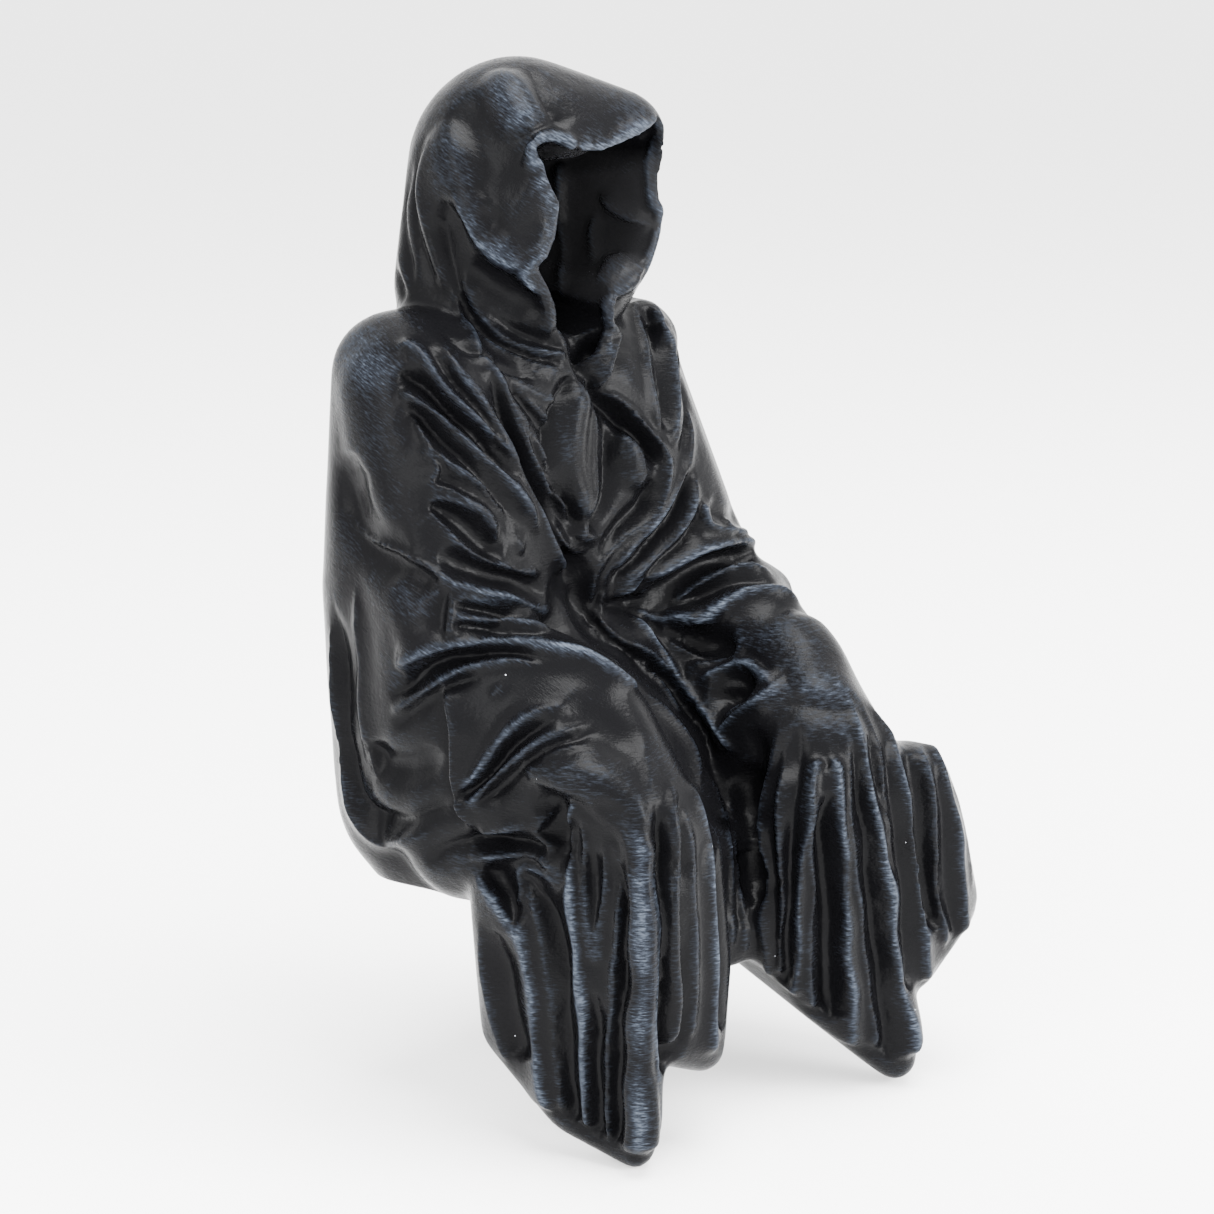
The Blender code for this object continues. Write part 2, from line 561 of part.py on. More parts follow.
def main():
    """Builds the statue."""
    for old in list(bpy.data.objects):
        bpy.data.objects.remove(old)
    statue_parts = bpy.data.collections.new("ghost garden statue")
    cutters = bpy.data.collections.new("cutters")
    bpy.context.scene.collection.children.link(statue_parts)
    bpy.context.scene.collection.children.link(cutters)
    clay = bmesh.new()
    for mass in MASSES.values():
        add_hull(clay, mass)
    statue = object_of("ghost_statue", clay, statue_parts)
    fuse(statue, CLAY_GRID, 12)
    cut(statue, hollow_cutter(cutters))
    fuse(statue, CLAY_GRID, 2)
    surface = Surface(statue)
    for fold in FOLDS.values():
        press_fold(surface, *fold)
    for run in RUNS.values():
        press_run(surface, *run)
    surface.press()
    fuse(statue, CLAY_GRID, 1)
    facet(statue)
    cut(statue, notch_cutter(cutters))
    statue.data.materials.append(black_resin())


main()
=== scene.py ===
"""The looks of a ghost garden statue: a seated robe under an empty hood, cast in one piece in black resin.

The robe's masses are hulls over ellipsoids, fused into one skin. The hood is hollowed, then the folds are
carved as a modeller would: broad swells first, then rolls and grooves, then fine lines. They are drawn on
a sketch that looks at the figure's right front, and the sides that it doesn't show have lines in space.
The paint is satin black, with a blue-grey dry brush dragged across the edges.
"""

import logging
import math
from dataclasses import dataclass, field
from enum import Enum

import bmesh
import bpy
import numpy as np
from mathutils import Matrix, Vector
from mathutils.bvhtree import BVHTree
from mathutils.kdtree import KDTree


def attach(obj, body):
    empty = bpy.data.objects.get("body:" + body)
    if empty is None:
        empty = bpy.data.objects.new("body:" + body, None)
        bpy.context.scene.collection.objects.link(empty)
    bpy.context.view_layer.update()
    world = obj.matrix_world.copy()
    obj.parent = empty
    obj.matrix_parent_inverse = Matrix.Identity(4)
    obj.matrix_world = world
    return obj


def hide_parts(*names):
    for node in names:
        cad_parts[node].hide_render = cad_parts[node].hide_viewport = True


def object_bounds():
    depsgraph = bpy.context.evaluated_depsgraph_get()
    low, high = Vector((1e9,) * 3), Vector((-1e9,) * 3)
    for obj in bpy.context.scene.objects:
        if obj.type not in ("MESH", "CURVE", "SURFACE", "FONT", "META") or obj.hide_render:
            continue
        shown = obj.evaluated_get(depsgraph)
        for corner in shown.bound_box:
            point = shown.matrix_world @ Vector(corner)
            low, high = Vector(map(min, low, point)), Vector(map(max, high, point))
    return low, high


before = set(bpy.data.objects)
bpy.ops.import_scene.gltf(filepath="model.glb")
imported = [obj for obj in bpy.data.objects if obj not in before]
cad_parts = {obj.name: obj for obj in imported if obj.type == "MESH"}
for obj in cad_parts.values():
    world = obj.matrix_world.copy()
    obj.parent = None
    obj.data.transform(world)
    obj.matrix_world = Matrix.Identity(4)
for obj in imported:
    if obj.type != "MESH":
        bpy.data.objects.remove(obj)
CAD_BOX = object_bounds()

LOG = logging.getLogger("ghost_statue")

Place = tuple[float, ...]
Ellipsoid = tuple[Place, Place]

# The figure is drawn in units of a figure 178 high, and stands 178 mm high
FIGURE_HEIGHT = 0.178
DRAWN_HEIGHT = 178.0
UNIT = FIGURE_HEIGHT / DRAWN_HEIGHT


class Shape(Enum):
    """How a fold is shaped across its line."""

    ROLL = "a soft round swell"
    HOLLOW = "a soft round hollow"
    PIPE = "a half-round pipe with sharp feet"
    CREST = "a ridge with a sharp crest"
    GROOVE = "a groove with a sharp bottom"
    LAP = "an edge of cloth that lies on the cloth to its right"


ROLL, HOLLOW, PIPE, CREST, GROOVE, LAP = Shape


@dataclass(frozen=True)
class Fold:
    """One fold of the robe.

    A place of two numbers lies on the sketch, in its pixels. A place of three lies in space, in drawn
    units, and is dropped to the nearest cloth.

    Attributes:
        shape: how it is shaped across.
        half_width: half its width, in drawn units.
        height: how far it stands out or sinks in, in drawn units.
        line: the places that it runs through.
        fade: how far it takes to rise at its start and to die away at its end, in drawn units.
        load: how much of the dry brush it takes, 0 to 1, where that isn't what its height earns it.
    """

    shape: Shape
    half_width: float
    height: float
    line: list[Place]
    fade: tuple[float, float] = (5.0, 5.0)
    load: float | None = None


@dataclass(frozen=True)
class Patch:
    """A patch that the dry brush was dragged over.

    Attributes:
        place: its middle, on the sketch or in space.
        radius: how far it reaches, in drawn units.
        load: how much of the dry brush it takes in its middle, 0 to 1.
    """

    place: Place
    radius: float
    load: float


@dataclass(frozen=True)
class Run:
    """Like folds side by side, spread evenly from a first line to a last one.

    Attributes:
        shape: how they are shaped across.
        half_width: about half the width of each, in drawn units.
        height: about how far each stands out or sinks in, in drawn units.
        count: how many there are.
        first: the places that the first one runs through.
        last: the places that the last one runs through.
        variety: how much they differ.
    """

    shape: Shape
    half_width: float
    height: float
    count: int
    first: list[Place]
    last: list[Place]
    variety: float = 0.25

    def folds(self) -> list[Fold]:
        """The run's folds, no two quite alike.

        Returns:
            One fold for each line of the run.
        """
        made = []
        for index in range(self.count):
            share = (index + 0.5 * self.variety * math.sin(5.1 * index)) / (self.count - 1)
            line = np.array(self.first, float) * (1 - share) + np.array(self.last, float) * share
            vary = 1 + self.variety * math.sin(2.4 * index)
            made.append(Fold(self.shape, self.half_width * vary, self.height * vary, line.tolist()))
        return made


def places(path: str) -> list[Place]:
    """The places on a path, which reads 12,34 56,78 on the sketch or 1,2,3 4,5,6 in space."""
    return [tuple(float(number) for number in spot.split(",")) for spot in path.split()]


def folds_of(*rows: tuple) -> list[Fold]:
    """Makes a fold of each row, which holds its fields in order, with its line as a path."""
    return [Fold(*row[:3], places(row[3]), *row[4:]) for row in rows]


# Masses: each is a hull over ellipsoids, given by centre and radii; x is the figure's left, y its back
MASSES: dict[str, list[Ellipsoid]] = {
    "hood": [
        ((0, 7.5, 118), (19, 18.5, 19.5)), ((12, -3.5, 123), (10, 8.5, 9)),
        ((-8, -2, 120), (8.5, 8.5, 8.5)), ((13, -1, 105), (8.2, 8, 9)), ((-10, 0, 103), (7.5, 7.5, 8)),
        ((-0.5, 13.5, 99), (19.5, 13.5, 14)), ((2, 1, 93), (13, 8, 9)),
    ],
    "torso": [
        ((-27, 10, 50), (11.5, 14.5, 14)), ((-25, 11, 86), (11, 12, 11)), ((23.5, 11, 85), (10.5, 13, 11)),
        ((0, 3, 82), (20, 12, 14)), ((-25.5, 9.5, 15), (12.5, 13.5, 17)), ((26, 10, 14), (12, 14, 18)),
        ((0, 4, 44), (20, 15, 10)),
    ],
    "right arm": [
        ((-26, 8, 84), (12, 12, 12)), ((-30, -3, 50), (11, 11, 11)), ((-24, 0, 20), (16, 14, 18)),
    ],
    "left arm": [
        ((24.5, 7.5, 83), (11, 11, 11)), ((31, -5, 44), (12.5, 11, 12.5)), ((24, 0, 20), (16, 14, 18)),
    ],
    "right mantle": [
        ((-25, 3, 84), (10, 11, 10)), ((-29, -3, 52), (10, 10, 10)), ((-5, -2, 52), (8, 8, 10)),
        ((-8, 0, 82), (8, 9, 8)),
    ],
    "left mantle": [
        ((22.5, 3, 82), (9, 9.5, 9)), ((30, -5, 50), (10, 10, 10)), ((3, -2, 52), (8, 8, 10)),
        ((10, 0, 82), (8, 9, 8)),
    ],
    "breast": [
        ((1, -2, 86), (8, 6, 8)), ((-3, -6, 54), (6, 6, 9)),
    ],
    "right thigh": [
        ((-26, -4, 34), (14, 12, 18)), ((-21, -26, 28), (14, 12, 14)), ((-20, -39, 16), (11, 9, 12)),
        ((-24, -6, 14), (16, 12, 16)),
    ],
    "left thigh": [
        ((29, -4, 31), (13, 12, 18)), ((30, -26, 27), (12, 12, 14)), ((34, -13, 34.5), (11.5, 11, 15)),
        ((24, -41, 20), (13, 10, 12)), ((24, -6, 14), (16, 12, 16)),
    ],
    "lap": [
        ((0, -6, 28), (20, 12, 16)), ((0, -24, 10), (16, 10, 12)),
    ],
    "seat": [
        ((-24, 8, 11), (12, 13, 16)), ((24, 8, 11), (12, 13, 16)), ((-20, -14, 6), (10, 8, 12)),
        ((20, -14, 6), (10, 8, 12)),
    ],
    "right side drape": [
        ((-30, -18, 2), (7, 6, 8)), ((-25, -43, 8), (6, 7, 8)), ((-31, -18, -20), (4, 4.5, 5)),
        ((-29, -31, -30), (4, 6, 6)), ((-26.5, -43, -34), (3.5, 4, 5.5)),
    ],
    "right front drape": [
        ((-22, -42, 8), (6, 7, 8)), ((-11, -41, 10), (5, 6, 8)), ((-20, -44, -18), (4, 4, 5)),
        ((-11, -44, -22.5), (4, 4, 4.5)), ((-9, -43, -9), (5, 4, 5)), ((-12, -18, -8), (4, 5, 5)),
        ((-28, -18, -12), (5, 5, 6)),
    ],
    "middle drape": [
        ((-6, -32, 4), (4, 6, 8)), ((4, -34, 4), (5, 6, 8)), ((-5, -33, -10), (4, 5, 5)),
        ((6, -36, -10), (4, 5, 5)), ((0, -18, -4), (12, 5, 8)),
    ],
    "left inner drape": [
        ((13, -46, 14), (6, 5, 8)), ((26, -50, 12), (6, 6, 10)), ((10, -41.5, -9), (4, 5, 5)),
        ((18, -47, -22), (4, 4, 4.5)), ((30.5, -53.5, -34.5), (4, 4, 4.5)), ((30, -18, -6), (5, 5, 8)),
        ((14, -18, -6), (4, 5, 6)),
    ],
    "left outer drape": [
        ((26, -49, 12), (6, 7, 10)), ((37, -49.5, 11.5), (8.5, 8.5, 9.5)), ((35, -53.5, -19), (4, 4, 4.5)),
        ((43.5, -55, -9), (5, 5, 6)), ((38, -18, -2), (5, 5, 8)), ((30, -18, -6), (5, 5, 8)),
    ],
}

# Broad swells and hollows of the cloth
SWELLS = folds_of(
    (ROLL, 6.5, 2.0, "492,70 504,88 518,108 530,130", (10, 3)),
    (HOLLOW, 8, 2.2, "464,96 478,128 494,156 512,174 530,182", (10, 7)),
    (ROLL, 6, 1.0, "440,120 448,160 460,196 484,232", (8, 6)),
    (HOLLOW, 6, 1.4, "440,200 468,262 508,300 545,325"),
    (HOLLOW, 5, 1.2, "455,290 490,335 540,360"),
    (HOLLOW, 6, 2.4, "575,540 592,590 612,618"),
    (HOLLOW, 5, 1.4, "350,450 356,505 378,545 410,565"),
    (ROLL, 7, 1.5, "400,672 470,645 560,650 640,690 700,752"),
    (HOLLOW, 7, 2.2, "690,620 720,655 750,695"),
    (ROLL, 8, 1.6, "790,610 820,650 825,710"),
    (HOLLOW, 5, 1.8, "560,560 600,625 670,680 722,750 742,840 745,930"),
    (HOLLOW, 6, 1.8, "470,835 510,862 550,868"),
    (HOLLOW, 5, 1.5, "555,715 600,722 640,760"),
    (ROLL, 6, 2.0, "630,306 646,316 660,328 669,348", (4, 5)),
)

# The folds of the hood and its collar
HOOD_FOLDS = folds_of(
    (GROOVE, 4.0, 1.2, "530,66 540,92 552,114 566,132", (12, 3)),
    (CREST, 2.6, 1.4, "450,188 466,216 480,240 500,256 522,266", (9, 2), 0.9),
    (GROOVE, 1.6, 0.7, "472,176 486,192 500,206 508,212", (6, 5)),
    (HOLLOW, 3.0, 0.8, "478,202 494,222 510,236", (4, 4)),
    (CREST, 1.8, 0.9, "548,218 536,240 522,256", (3, 2)),
    (CREST, 3.0, 0.65, "432,130 420,184 424,225 434,256 452,292", (12, 6), 0.25),
    (GROOVE, 2.3, 1.1, "428,128 414,175 414,220 424,262 440,296", (12, 6)),
    (GROOVE, 1.6, 1.0, "416,150 404,200 404,245 414,290", (12, 5)),
    (CREST, 2.6, 0.55, "408,165 398,215 400,262 412,300", (12, 5)),
    (GROOVE, 1.5, 1.0, "396,236 396,265 406,302", (6, 5)),
    (GROOVE, 1.6, 1.0, "440,205 448,245 456,285 466,318 484,345", (8, 6)),
    (HOLLOW, 4, 1.8, "470,262 492,284 516,300 540,316", (8, 4)),
    (CREST, 1.8, 1.1, "460,268 472,305 498,334 534,351 566,356", (8, 2)),
    (CREST, 1.6, 1.0, "452,280 464,318 490,346 530,364 560,370", (8, 2)),
    (GROOVE, 1.5, 1.1, "456,274 468,312 494,341 532,358 563,363", (8, 2)),
    (GROOVE, 1.5, 1.1, "486,304 512,330 545,344 566,349", (8, 2)),
    (GROOVE, 1.6, 1.2, "440,330 470,350 500,368 540,380", (8, 4)),
    (CREST, 1.8, 1.4, "598,192 610,202 626,213 646,224 656,230", (4, 2), 0.3),
    (ROLL, 5, 2.4, "612,300 618,276 632,252", (5, 5)),
    (CREST, 1.3, 1.0, "564,152 561,180 560,205 562,235 563,300", (2, 6), 0.4),
    (CREST, 1.2, 0.8, "598,214 593,232 594,252 597,284", (2, 4), 0.35),
    (HOLLOW, 4, 1.6, "26,0,119 20,-6,119 17,-10,119.5", (6, 1)),
    (CREST, 1.4, 0.9, "-4.5,-10,123.2 -8,-10,125 -12.2,-10,125.5 -13.1,-9,122.7 -10.6,-8,118.4 -8,-8,115.8 "
     "-7.6,-8,114.1 -8.7,-7,109.2 -11.7,-6,105 -11.7,-5,103.1 -8.6,-5,99.5", (1, 2), 0.75),
    (CREST, 1.3, 0.7, "-10,-5,101 -8.6,-5,99.5 -7,-6,96.6 -6.3,-6.5,92", (1, 2), 0.3),
    (CREST, 1.4, 0.9, "-4.5,-11,123.2 0.4,-11,123 5.3,-11.5,124.3 11,-11,126 16,-9,127.2", (1, 1), 1.0),
    (CREST, 1.3, 0.9, "15.9,-9,127.4 18.3,-8,124.8 16.3,-8,119.8 17.1,-8,114.7 18.4,-8,108.7 16.4,-8,104.6 "
     "12.5,-8,99.3 8.2,-8,98.1 5.5,-7.5,95.1 8,-8,90.9 5.6,-8.5,87", (1, 3), 0.6),
)

# The folds that fan from the figure's right shoulder to the waist
RIGHT_CHEST_FOLDS = folds_of(
    (CREST, 2.0, 1.8, "398,356 408,349 435,374 468,414 497,442 522,476", (3, 8)),
    (GROOVE, 2.6, 2.6, "400,366 422,388 453,417 488,449 516,482", (4, 8)),
    (CREST, 2.0, 1.7, "398,390 422,404 462,438 497,472 521,502 538,540", (3, 8)),
    (GROOVE, 2.4, 2.2, "404,402 430,432 466,466 500,502 522,546", (4, 6)),
    (CREST, 1.8, 1.4, "406,412 426,440 452,464 486,490 508,520 524,558", (6, 4)),
    (LAP, 2.4, 1.4, "424,440 438,468 432,484 452,490 482,506 500,530", (3, 6)),
    (CREST, 1.6, 1.2, "426,497 453,499 484,517 500,545", (2, 4)),
    (HOLLOW, 3.4, 2.2, "428,504 452,518 480,538 504,556", (3, 4)),
    (CREST, 1.8, 1.4, "427,508 452,539 486,560 516,571 540,576", (2, 5)),
    (HOLLOW, 3.0, 1.6, "436,552 468,566 508,578 545,592", (5, 5)),
    (CREST, 2.2, 1.8, "345,510 369,538 404,556 428,566 450,583 476,592 515,604 552,610", (14, 6)),
    (HOLLOW, 4.0, 1.5, "352,530 380,556 416,572 440,588", (8, 3)),
    (CREST, 2.0, 1.5, "457,296 470,340 500,388 524,436 545,484 572,520", (8, 6)),
    (GROOVE, 2.4, 2.4, "486,372 506,414 524,458 545,506 566,552 574,580", (8, 3)),
    (CREST, 1.9, 1.4, "440,342 468,386 498,430 524,478 546,530 564,578", (10, 5)),
    (GROOVE, 1.8, 1.3, "428,346 458,388 486,426 512,466", (8, 6)),
    (CREST, 1.5, 1.0, "484,350 512,388 540,412 556,424", (8, 4)),
    (CREST, 1.4, 0.9, "500,366 528,390 560,404", (6, 3)),
    (GROOVE, 1.6, 1.2, "500,372 528,408 548,440 549,474", (6, 4)),
    (CREST, 1.5, 1.0, "502,384 522,420 544,460 560,500", (6, 4)),
    (GROOVE, 2.0, 1.5, "526,420 540,470 562,512 578,545", (6, 4)),
)

# The leaf-like panels between the lapels, and what is gathered below them
BREAST_FOLDS = folds_of(
    (GROOVE, 1.8, 2.2, "574,372 559,400 550,441 552,477 567,508 584,534", (3, 4)),
    (ROLL, 3.6, 1.6, "584,384 574,420 572,470 588,520", (4, 5)),
    (CREST, 1.2, 0.7, "590,392 594,440 594,490 588,524", (5, 5)),
    (GROOVE, 2.0, 2.4, "592,386 606,406 614,432 610,476 604,512 590,536", (3, 4)),
    (GROOVE, 2.8, 3.4, "588,346 592,368 604,396 626,422 648,444 656,470", (1, 4)),
    (HOLLOW, 2.6, 4.2, "584,334 586,350 590,368 596,384", (1, 4)),
    (CREST, 1.6, 1.4, "606,390 632,414 662,446 664,486 650,514 626,534 603,558 592,580 590,612", (3, 6)),
    (ROLL, 3.4, 1.2, "626,432 636,462 632,492", (4, 4)),
    (GROOVE, 1.8, 1.8, "654,478 642,506 616,530 596,556", (4, 5)),
    (CREST, 1.3, 0.9, "646,532 612,562 600,588 603,618", (6, 4)),
    (CREST, 1.3, 0.9, "556,524 568,548 588,552", (3, 3)),
    (GROOVE, 2.6, 2.6, "566,560 578,592 590,620 612,642", (4, 6)),
)

# The folds from the figure's left shoulder, and across its left forearm
LEFT_CHEST_FOLDS = folds_of(
    (CREST, 1.4, 0.8, "630,294 643,340 650,390 662,440", (4, 5)),
    (LAP, 2.2, 1.3, "616,292 610,315 616,340 608,366 600,390", (2, 3)),
    (CREST, 1.6, 1.3, "652,302 668,344 674,390 671,446", (6, 4)),
    (GROOVE, 1.6, 1.5, "644,306 658,350 664,396 667,436", (6, 4)),
    (CREST, 1.6, 0.9, "660,318 675,362 680,410 673,450", (6, 4)),
    (GROOVE, 1.5, 1.0, "668,345 680,385 685,425 679,462", (8, 4)),
    (CREST, 1.4, 0.7, "685,400 690,430 690,452 684,476", (6, 4)),
    (CREST, 1.8, 1.5, "688,466 662,510 630,546 604,572", (6, 5)),
    (GROOVE, 1.8, 1.8, "694,470 674,516 640,554 610,582", (6, 4)),
    (CREST, 1.8, 1.4, "698,478 685,520 648,562 612,594", (6, 5)),
    (GROOVE, 1.6, 1.4, "700,500 688,532 656,566 626,594", (5, 4)),
    (CREST, 2.0, 1.5, "699,500 704,518 716,528 744,534", (2, 3)),
    (HOLLOW, 2.6, 0.8, "708,508 722,516 738,518", (2, 3)),
    (CREST, 2.2, 1.8, "756,544 718,546 684,556 648,575 606,602", (8, 5)),
    (HOLLOW, 3.0, 2.0, "752,554 715,562 680,580 640,600", (6, 4)),
    (CREST, 1.8, 1.4, "772,572 736,568 704,580 668,602", (8, 4)),
    (GROOVE, 1.8, 1.4, "776,582 740,580 706,592 680,604", (6, 4)),
    (CREST, 2.4, 2.0, "798,602 778,593 753,595 728,606 706,618 684,621 655,616 632,613", (8, 3), 0.7),
    (GROOVE, 2.4, 2.2, "646,600 618,606 600,602", (4, 3)),
)

# The lap's pocket between the thighs
LAP_FOLDS = folds_of(
    (GROOVE, 2.6, 2.6, "574,584 588,614 606,638 638,656 669,682 694,714 712,752 730,810", (4, 8)),
    (CREST, 1.8, 1.5, "590,606 612,634 644,652 676,680 702,714 722,752", (6, 8)),
    (CREST, 1.6, 1.2, "580,600 600,632 632,652 662,680 686,712", (6, 8)),
    (CREST, 2.0, 1.6, "628,614 650,642 676,676 708,716 736,756", (5, 6), 0.9),
    (CREST, 2.0, 1.6, "716,746 736,716 762,700 784,672", (4, 8), 0.75),
    (CREST, 1.8, 1.3, "698,684 722,670 748,663 764,676 776,690", (4, 5), 0.7),
    (HOLLOW, 4.0, 2.6, "708,696 732,694 758,680", (4, 5)),
    (HOLLOW, 4.0, 2.2, "664,632 700,642 738,650", (5, 6)),
    (CREST, 1.4, 0.9, "660,640 690,652 716,650", (4, 4), 0.5),
    (GROOVE, 1.2, 0.8, "670,648 682,664 688,684", (2, 3)),
    (CREST, 1.2, 0.7, "688,662 710,662 728,655", (3, 3), 0.5),
    (GROOVE, 1.3, 0.8, "712,692 730,683 746,688", (3, 3)),
    (GROOVE, 1.3, 0.7, "738,650 756,658 772,674", (3, 3)),
    (CREST, 1.2, 0.6, "722,722 735,708 748,702", (3, 3), 0.6),
    (HOLLOW, 4.5, 2.6, "752,725 752,770 753,840 756,910", (6, 6)),
)

# The sleeve's edge, what it holds, and the thigh beside it
RIGHT_THIGH_FOLDS = folds_of(
    (LAP, 3.0, 2.0, "470,830 459,800 455,750 456,725 446,690 438,672", (5, 6)),
    (LAP, 2.6, 1.2, "446,642 447,620 449,592 432,572", (3, 5)),
    (GROOVE, 1.5, 1.4, "452,604 490,612 545,620", (3, 4)),
    (CREST, 1.4, 1.2, "450,596 490,603 548,612", (2, 4)),
    (CREST, 1.4, 1.2, "450,614 500,622 552,630", (2, 4)),
    (GROOVE, 1.4, 1.2, "450,624 500,630 552,636", (2, 4)),
    (CREST, 2.4, 1.9, "394,668 422,653 466,644 515,644 560,653 588,663 630,685 665,712 688,740", (10, 10)),
    (GROOVE, 2.4, 2.2, "390,700 420,678 460,658 506,653 552,660", (8, 8)),
    (CREST, 1.8, 1.4, "391,718 424,688 464,668 508,663 552,668", (6, 10)),
    (GROOVE, 1.6, 1.2, "394,732 424,704 454,684 490,674", (6, 8)),
    (HOLLOW, 3.6, 1.8, "368,740 385,764 412,768 448,756", (5, 5)),
    (CREST, 1.6, 1.0, "640,690 668,716 694,752 702,790", (6, 8)),
    (CREST, 1.9, 1.6, "458,792 480,770 510,732 545,712 570,706", (4, 10)),
    (GROOVE, 2.2, 1.8, "456,802 490,774 520,740 560,720", (3, 8)),
    (CREST, 1.9, 1.6, "464,808 500,772 540,744 592,720", (4, 10)),
    (GROOVE, 2.2, 1.6, "480,804 520,770 565,742 600,730", (4, 8)),
    (CREST, 1.6, 1.0, "534,766 560,748 588,742", (4, 6)),
    (CREST, 1.5, 0.8, "488,700 500,690 514,683", (3, 3)),
    (CREST, 1.5, 1.1, "476,834 505,828 534,824", (2, 5)),
    (GROOVE, 2.6, 2.0, "428,866 448,848 476,842 520,846 556,858", (5, 6)),
    (CREST, 2.0, 1.4, "466,858 500,854 530,854 556,868 574,886", (5, 4)),
)

# The robe's hem folds over the figure's right leg
RIGHT_LEG_FOLDS = folds_of(
    (ROLL, 4.5, 2.0, "520,770 560,776 602,788 632,812 645,845", (10, 8)),
    (HOLLOW, 5.0, 3.0, "530,806 556,810 562,850 550,862", (6, 6)),
    (HOLLOW, 3.4, 1.8, "484,866 498,882 510,900 520,930", (3, 6)),
    (CREST, 3.4, 1.7, "474,862 484,884 504,908 523,936 530,972 535,1012 542,1071 552,1112", (5, 3)),
    (CREST, 1.9, 0.8, "478,910 483,960 492,1010 506,1062", (10, 3)),
    (HOLLOW, 3.4, 1.4, "496,930 506,990 520,1060", (8, 2)),
    (CREST, 1.8, 1.1, "514,908 522,892 519,876 524,866 542,868 564,888", (2, 2)),
    (CREST, 1.4, 0.8, "526,874 538,914 548,976 555,1045 564,1118", (3, 3)),
    (GROOVE, 3.6, 1.8, "534,880 556,930 566,1000 571,1125", (8, 3)),
    (CREST, 3.4, 2, "580,798 570,815 569,852 574,900 582,961 585,1029 588,1130", (4, 3)),
    (CREST, 1.6, 1, "579,812 585,865 591,928 596,968", (8, 3)),
    (CREST, 1.6, 1, "606,836 604,886 600,936 596,968", (8, 3)),
    (HOLLOW, 2.2, 0.9, "592,838 595,880 596,930", (8, 8)),
    (GROOVE, 3.1, 1.7, "597,985 597,1040 598,1142", (10, 3)),
    (CREST, 1.7, 1, "608,832 619,866 619,928 612,995 608,1054 607,1142", (8, 3)),
    (GROOVE, 2.9, 1.7, "618,850 626,900 622,980 614,1145", (10, 3)),
    (PIPE, 3.0, 2.0, "596,800 622,818 639,850 643,900 643,970 640,1054 638,1155", (12, 3), 0.85),
    (CREST, 1.4, 0.7, "652,850 655,928 655,1012 656,1140", (12, 3), 0.8),
    (GROOVE, 2.9, 2.4, "656,800 662,860 664,940 664,1000 665,1082", (14, 3)),
    (CREST, 1.9, 0.8, "648,752 648,785 644,822", (6, 3)),
    (ROLL, 2.6, 1.5, "672,780 673,860 671,940 672,1045", (12, 3)),
    (GROOVE, 1.7, 1.1, "676,790 680,850 679,950 680,1050", (8, 3)),
    (CREST, 1.3, 0.9, "684,800 691,873 693,950 691,1040", (8, 3)),
    (CREST, 2.4, 1.5, "684,765 700,820 708,886 709,970 712,1055", (12, 3)),
    (GROOVE, 2.2, 1.1, "712,800 719,860 720,920 721,1030", (12, 3)),
    (CREST, 1.9, 0.9, "714,780 728,850 731,930 727,1010", (14, 3)),
    (CREST, 1.4, 0.8, "722,775 738,850 741,910 744,962", (14, 3)),
)

# The robe's hem folds over the figure's left leg
LEFT_LEG_FOLDS = folds_of(
    (CREST, 1.9, 1, "778,722 767,792 762,838 767,879 763,921 771,976", (10, 3)),
    (CREST, 1.8, 0.9, "786,740 780,790 779,833 781,898 780,976", (12, 3)),
    (GROOVE, 1.9, 0.9, "774,800 771,850 774,905 775,970", (10, 3)),
    (GROOVE, 4, 1.7, "800,720 794,800 789,880 788,985", (14, 3)),
    (CREST, 2.5, 1.4, "826,760 813,773 808,824 801,870 797,916 796,996", (4, 3)),
    (CREST, 1.6, 0.9, "820,784 811,847 813,898 809,953 812,1010", (8, 3)),
    (HOLLOW, 3.0, 2.4, "826,790 826,850 828,920 832,1020", (10, 3)),
    (CREST, 2.8, 1.6, "822,761 834,766 839,824 843,870 846,916 847,962 854,1046", (4, 3)),
    (CREST, 1.8, 0.9, "845,700 848,778 852,847 859,916 868,980 875,1050", (14, 3)),
    (GROOVE, 3.5, 1.7, "852,740 862,810 870,880 878,950 890,1060", (14, 3)),
    (CREST, 3.5, 1.9, "846,690 862,765 877,824 885,879 890,925 897,971 912,1056", (14, 3)),
    (GROOVE, 2.5, 1.2, "866,730 882,800 894,880", (10, 6)),
    (CREST, 1.9, 0.9, "858,700 876,748 884,796 892,850", (10, 6)),
    (GROOVE, 3, 1.4, "880,740 896,810 904,880 908,990", (12, 3)),
    (CREST, 2.5, 1.4, "868,700 890,748 905,801 914,847 919,898 922,944 929,984", (12, 3)),
    (HOLLOW, 4.0, 2.0, "906,752 920,800 926,860 932,930", (8, 3)),
    (CREST, 1.9, 1, "918,744 932,792 934,847 940,900 946,946", (8, 3)),
    (GROOVE, 2, 0.9, "930,765 944,820 948,880 955,938", (8, 3)),
    (CREST, 2.2, 1.2, "928,744 946,787 956,833 958,870 965,930", (8, 3)),
    (CREST, 1.6, 0.6, "946,768 962,830 971,895", (8, 3)),
)

# The cloak behind the figure's right arm
CLOAK_FOLDS = folds_of(
    (GROOVE, 2.4, 1.7, "334,600 340,660 347,740 360,798 388,822 430,810 455,794", (12, 5)),
    (CREST, 1.8, 1.2, "331,620 336,690 345,770 356,816 386,842 432,832", (14, 8)),
    (GROOVE, 1.2, 0.8, "340,610 345,670 351,735", (10, 8)),
    (CREST, 2.6, 1.3, "356,580 362,650 367,720 376,780", (14, 8)),
    (HOLLOW, 3.4, 1.0, "346,470 354,512 376,550 408,562", (10, 8)),
)

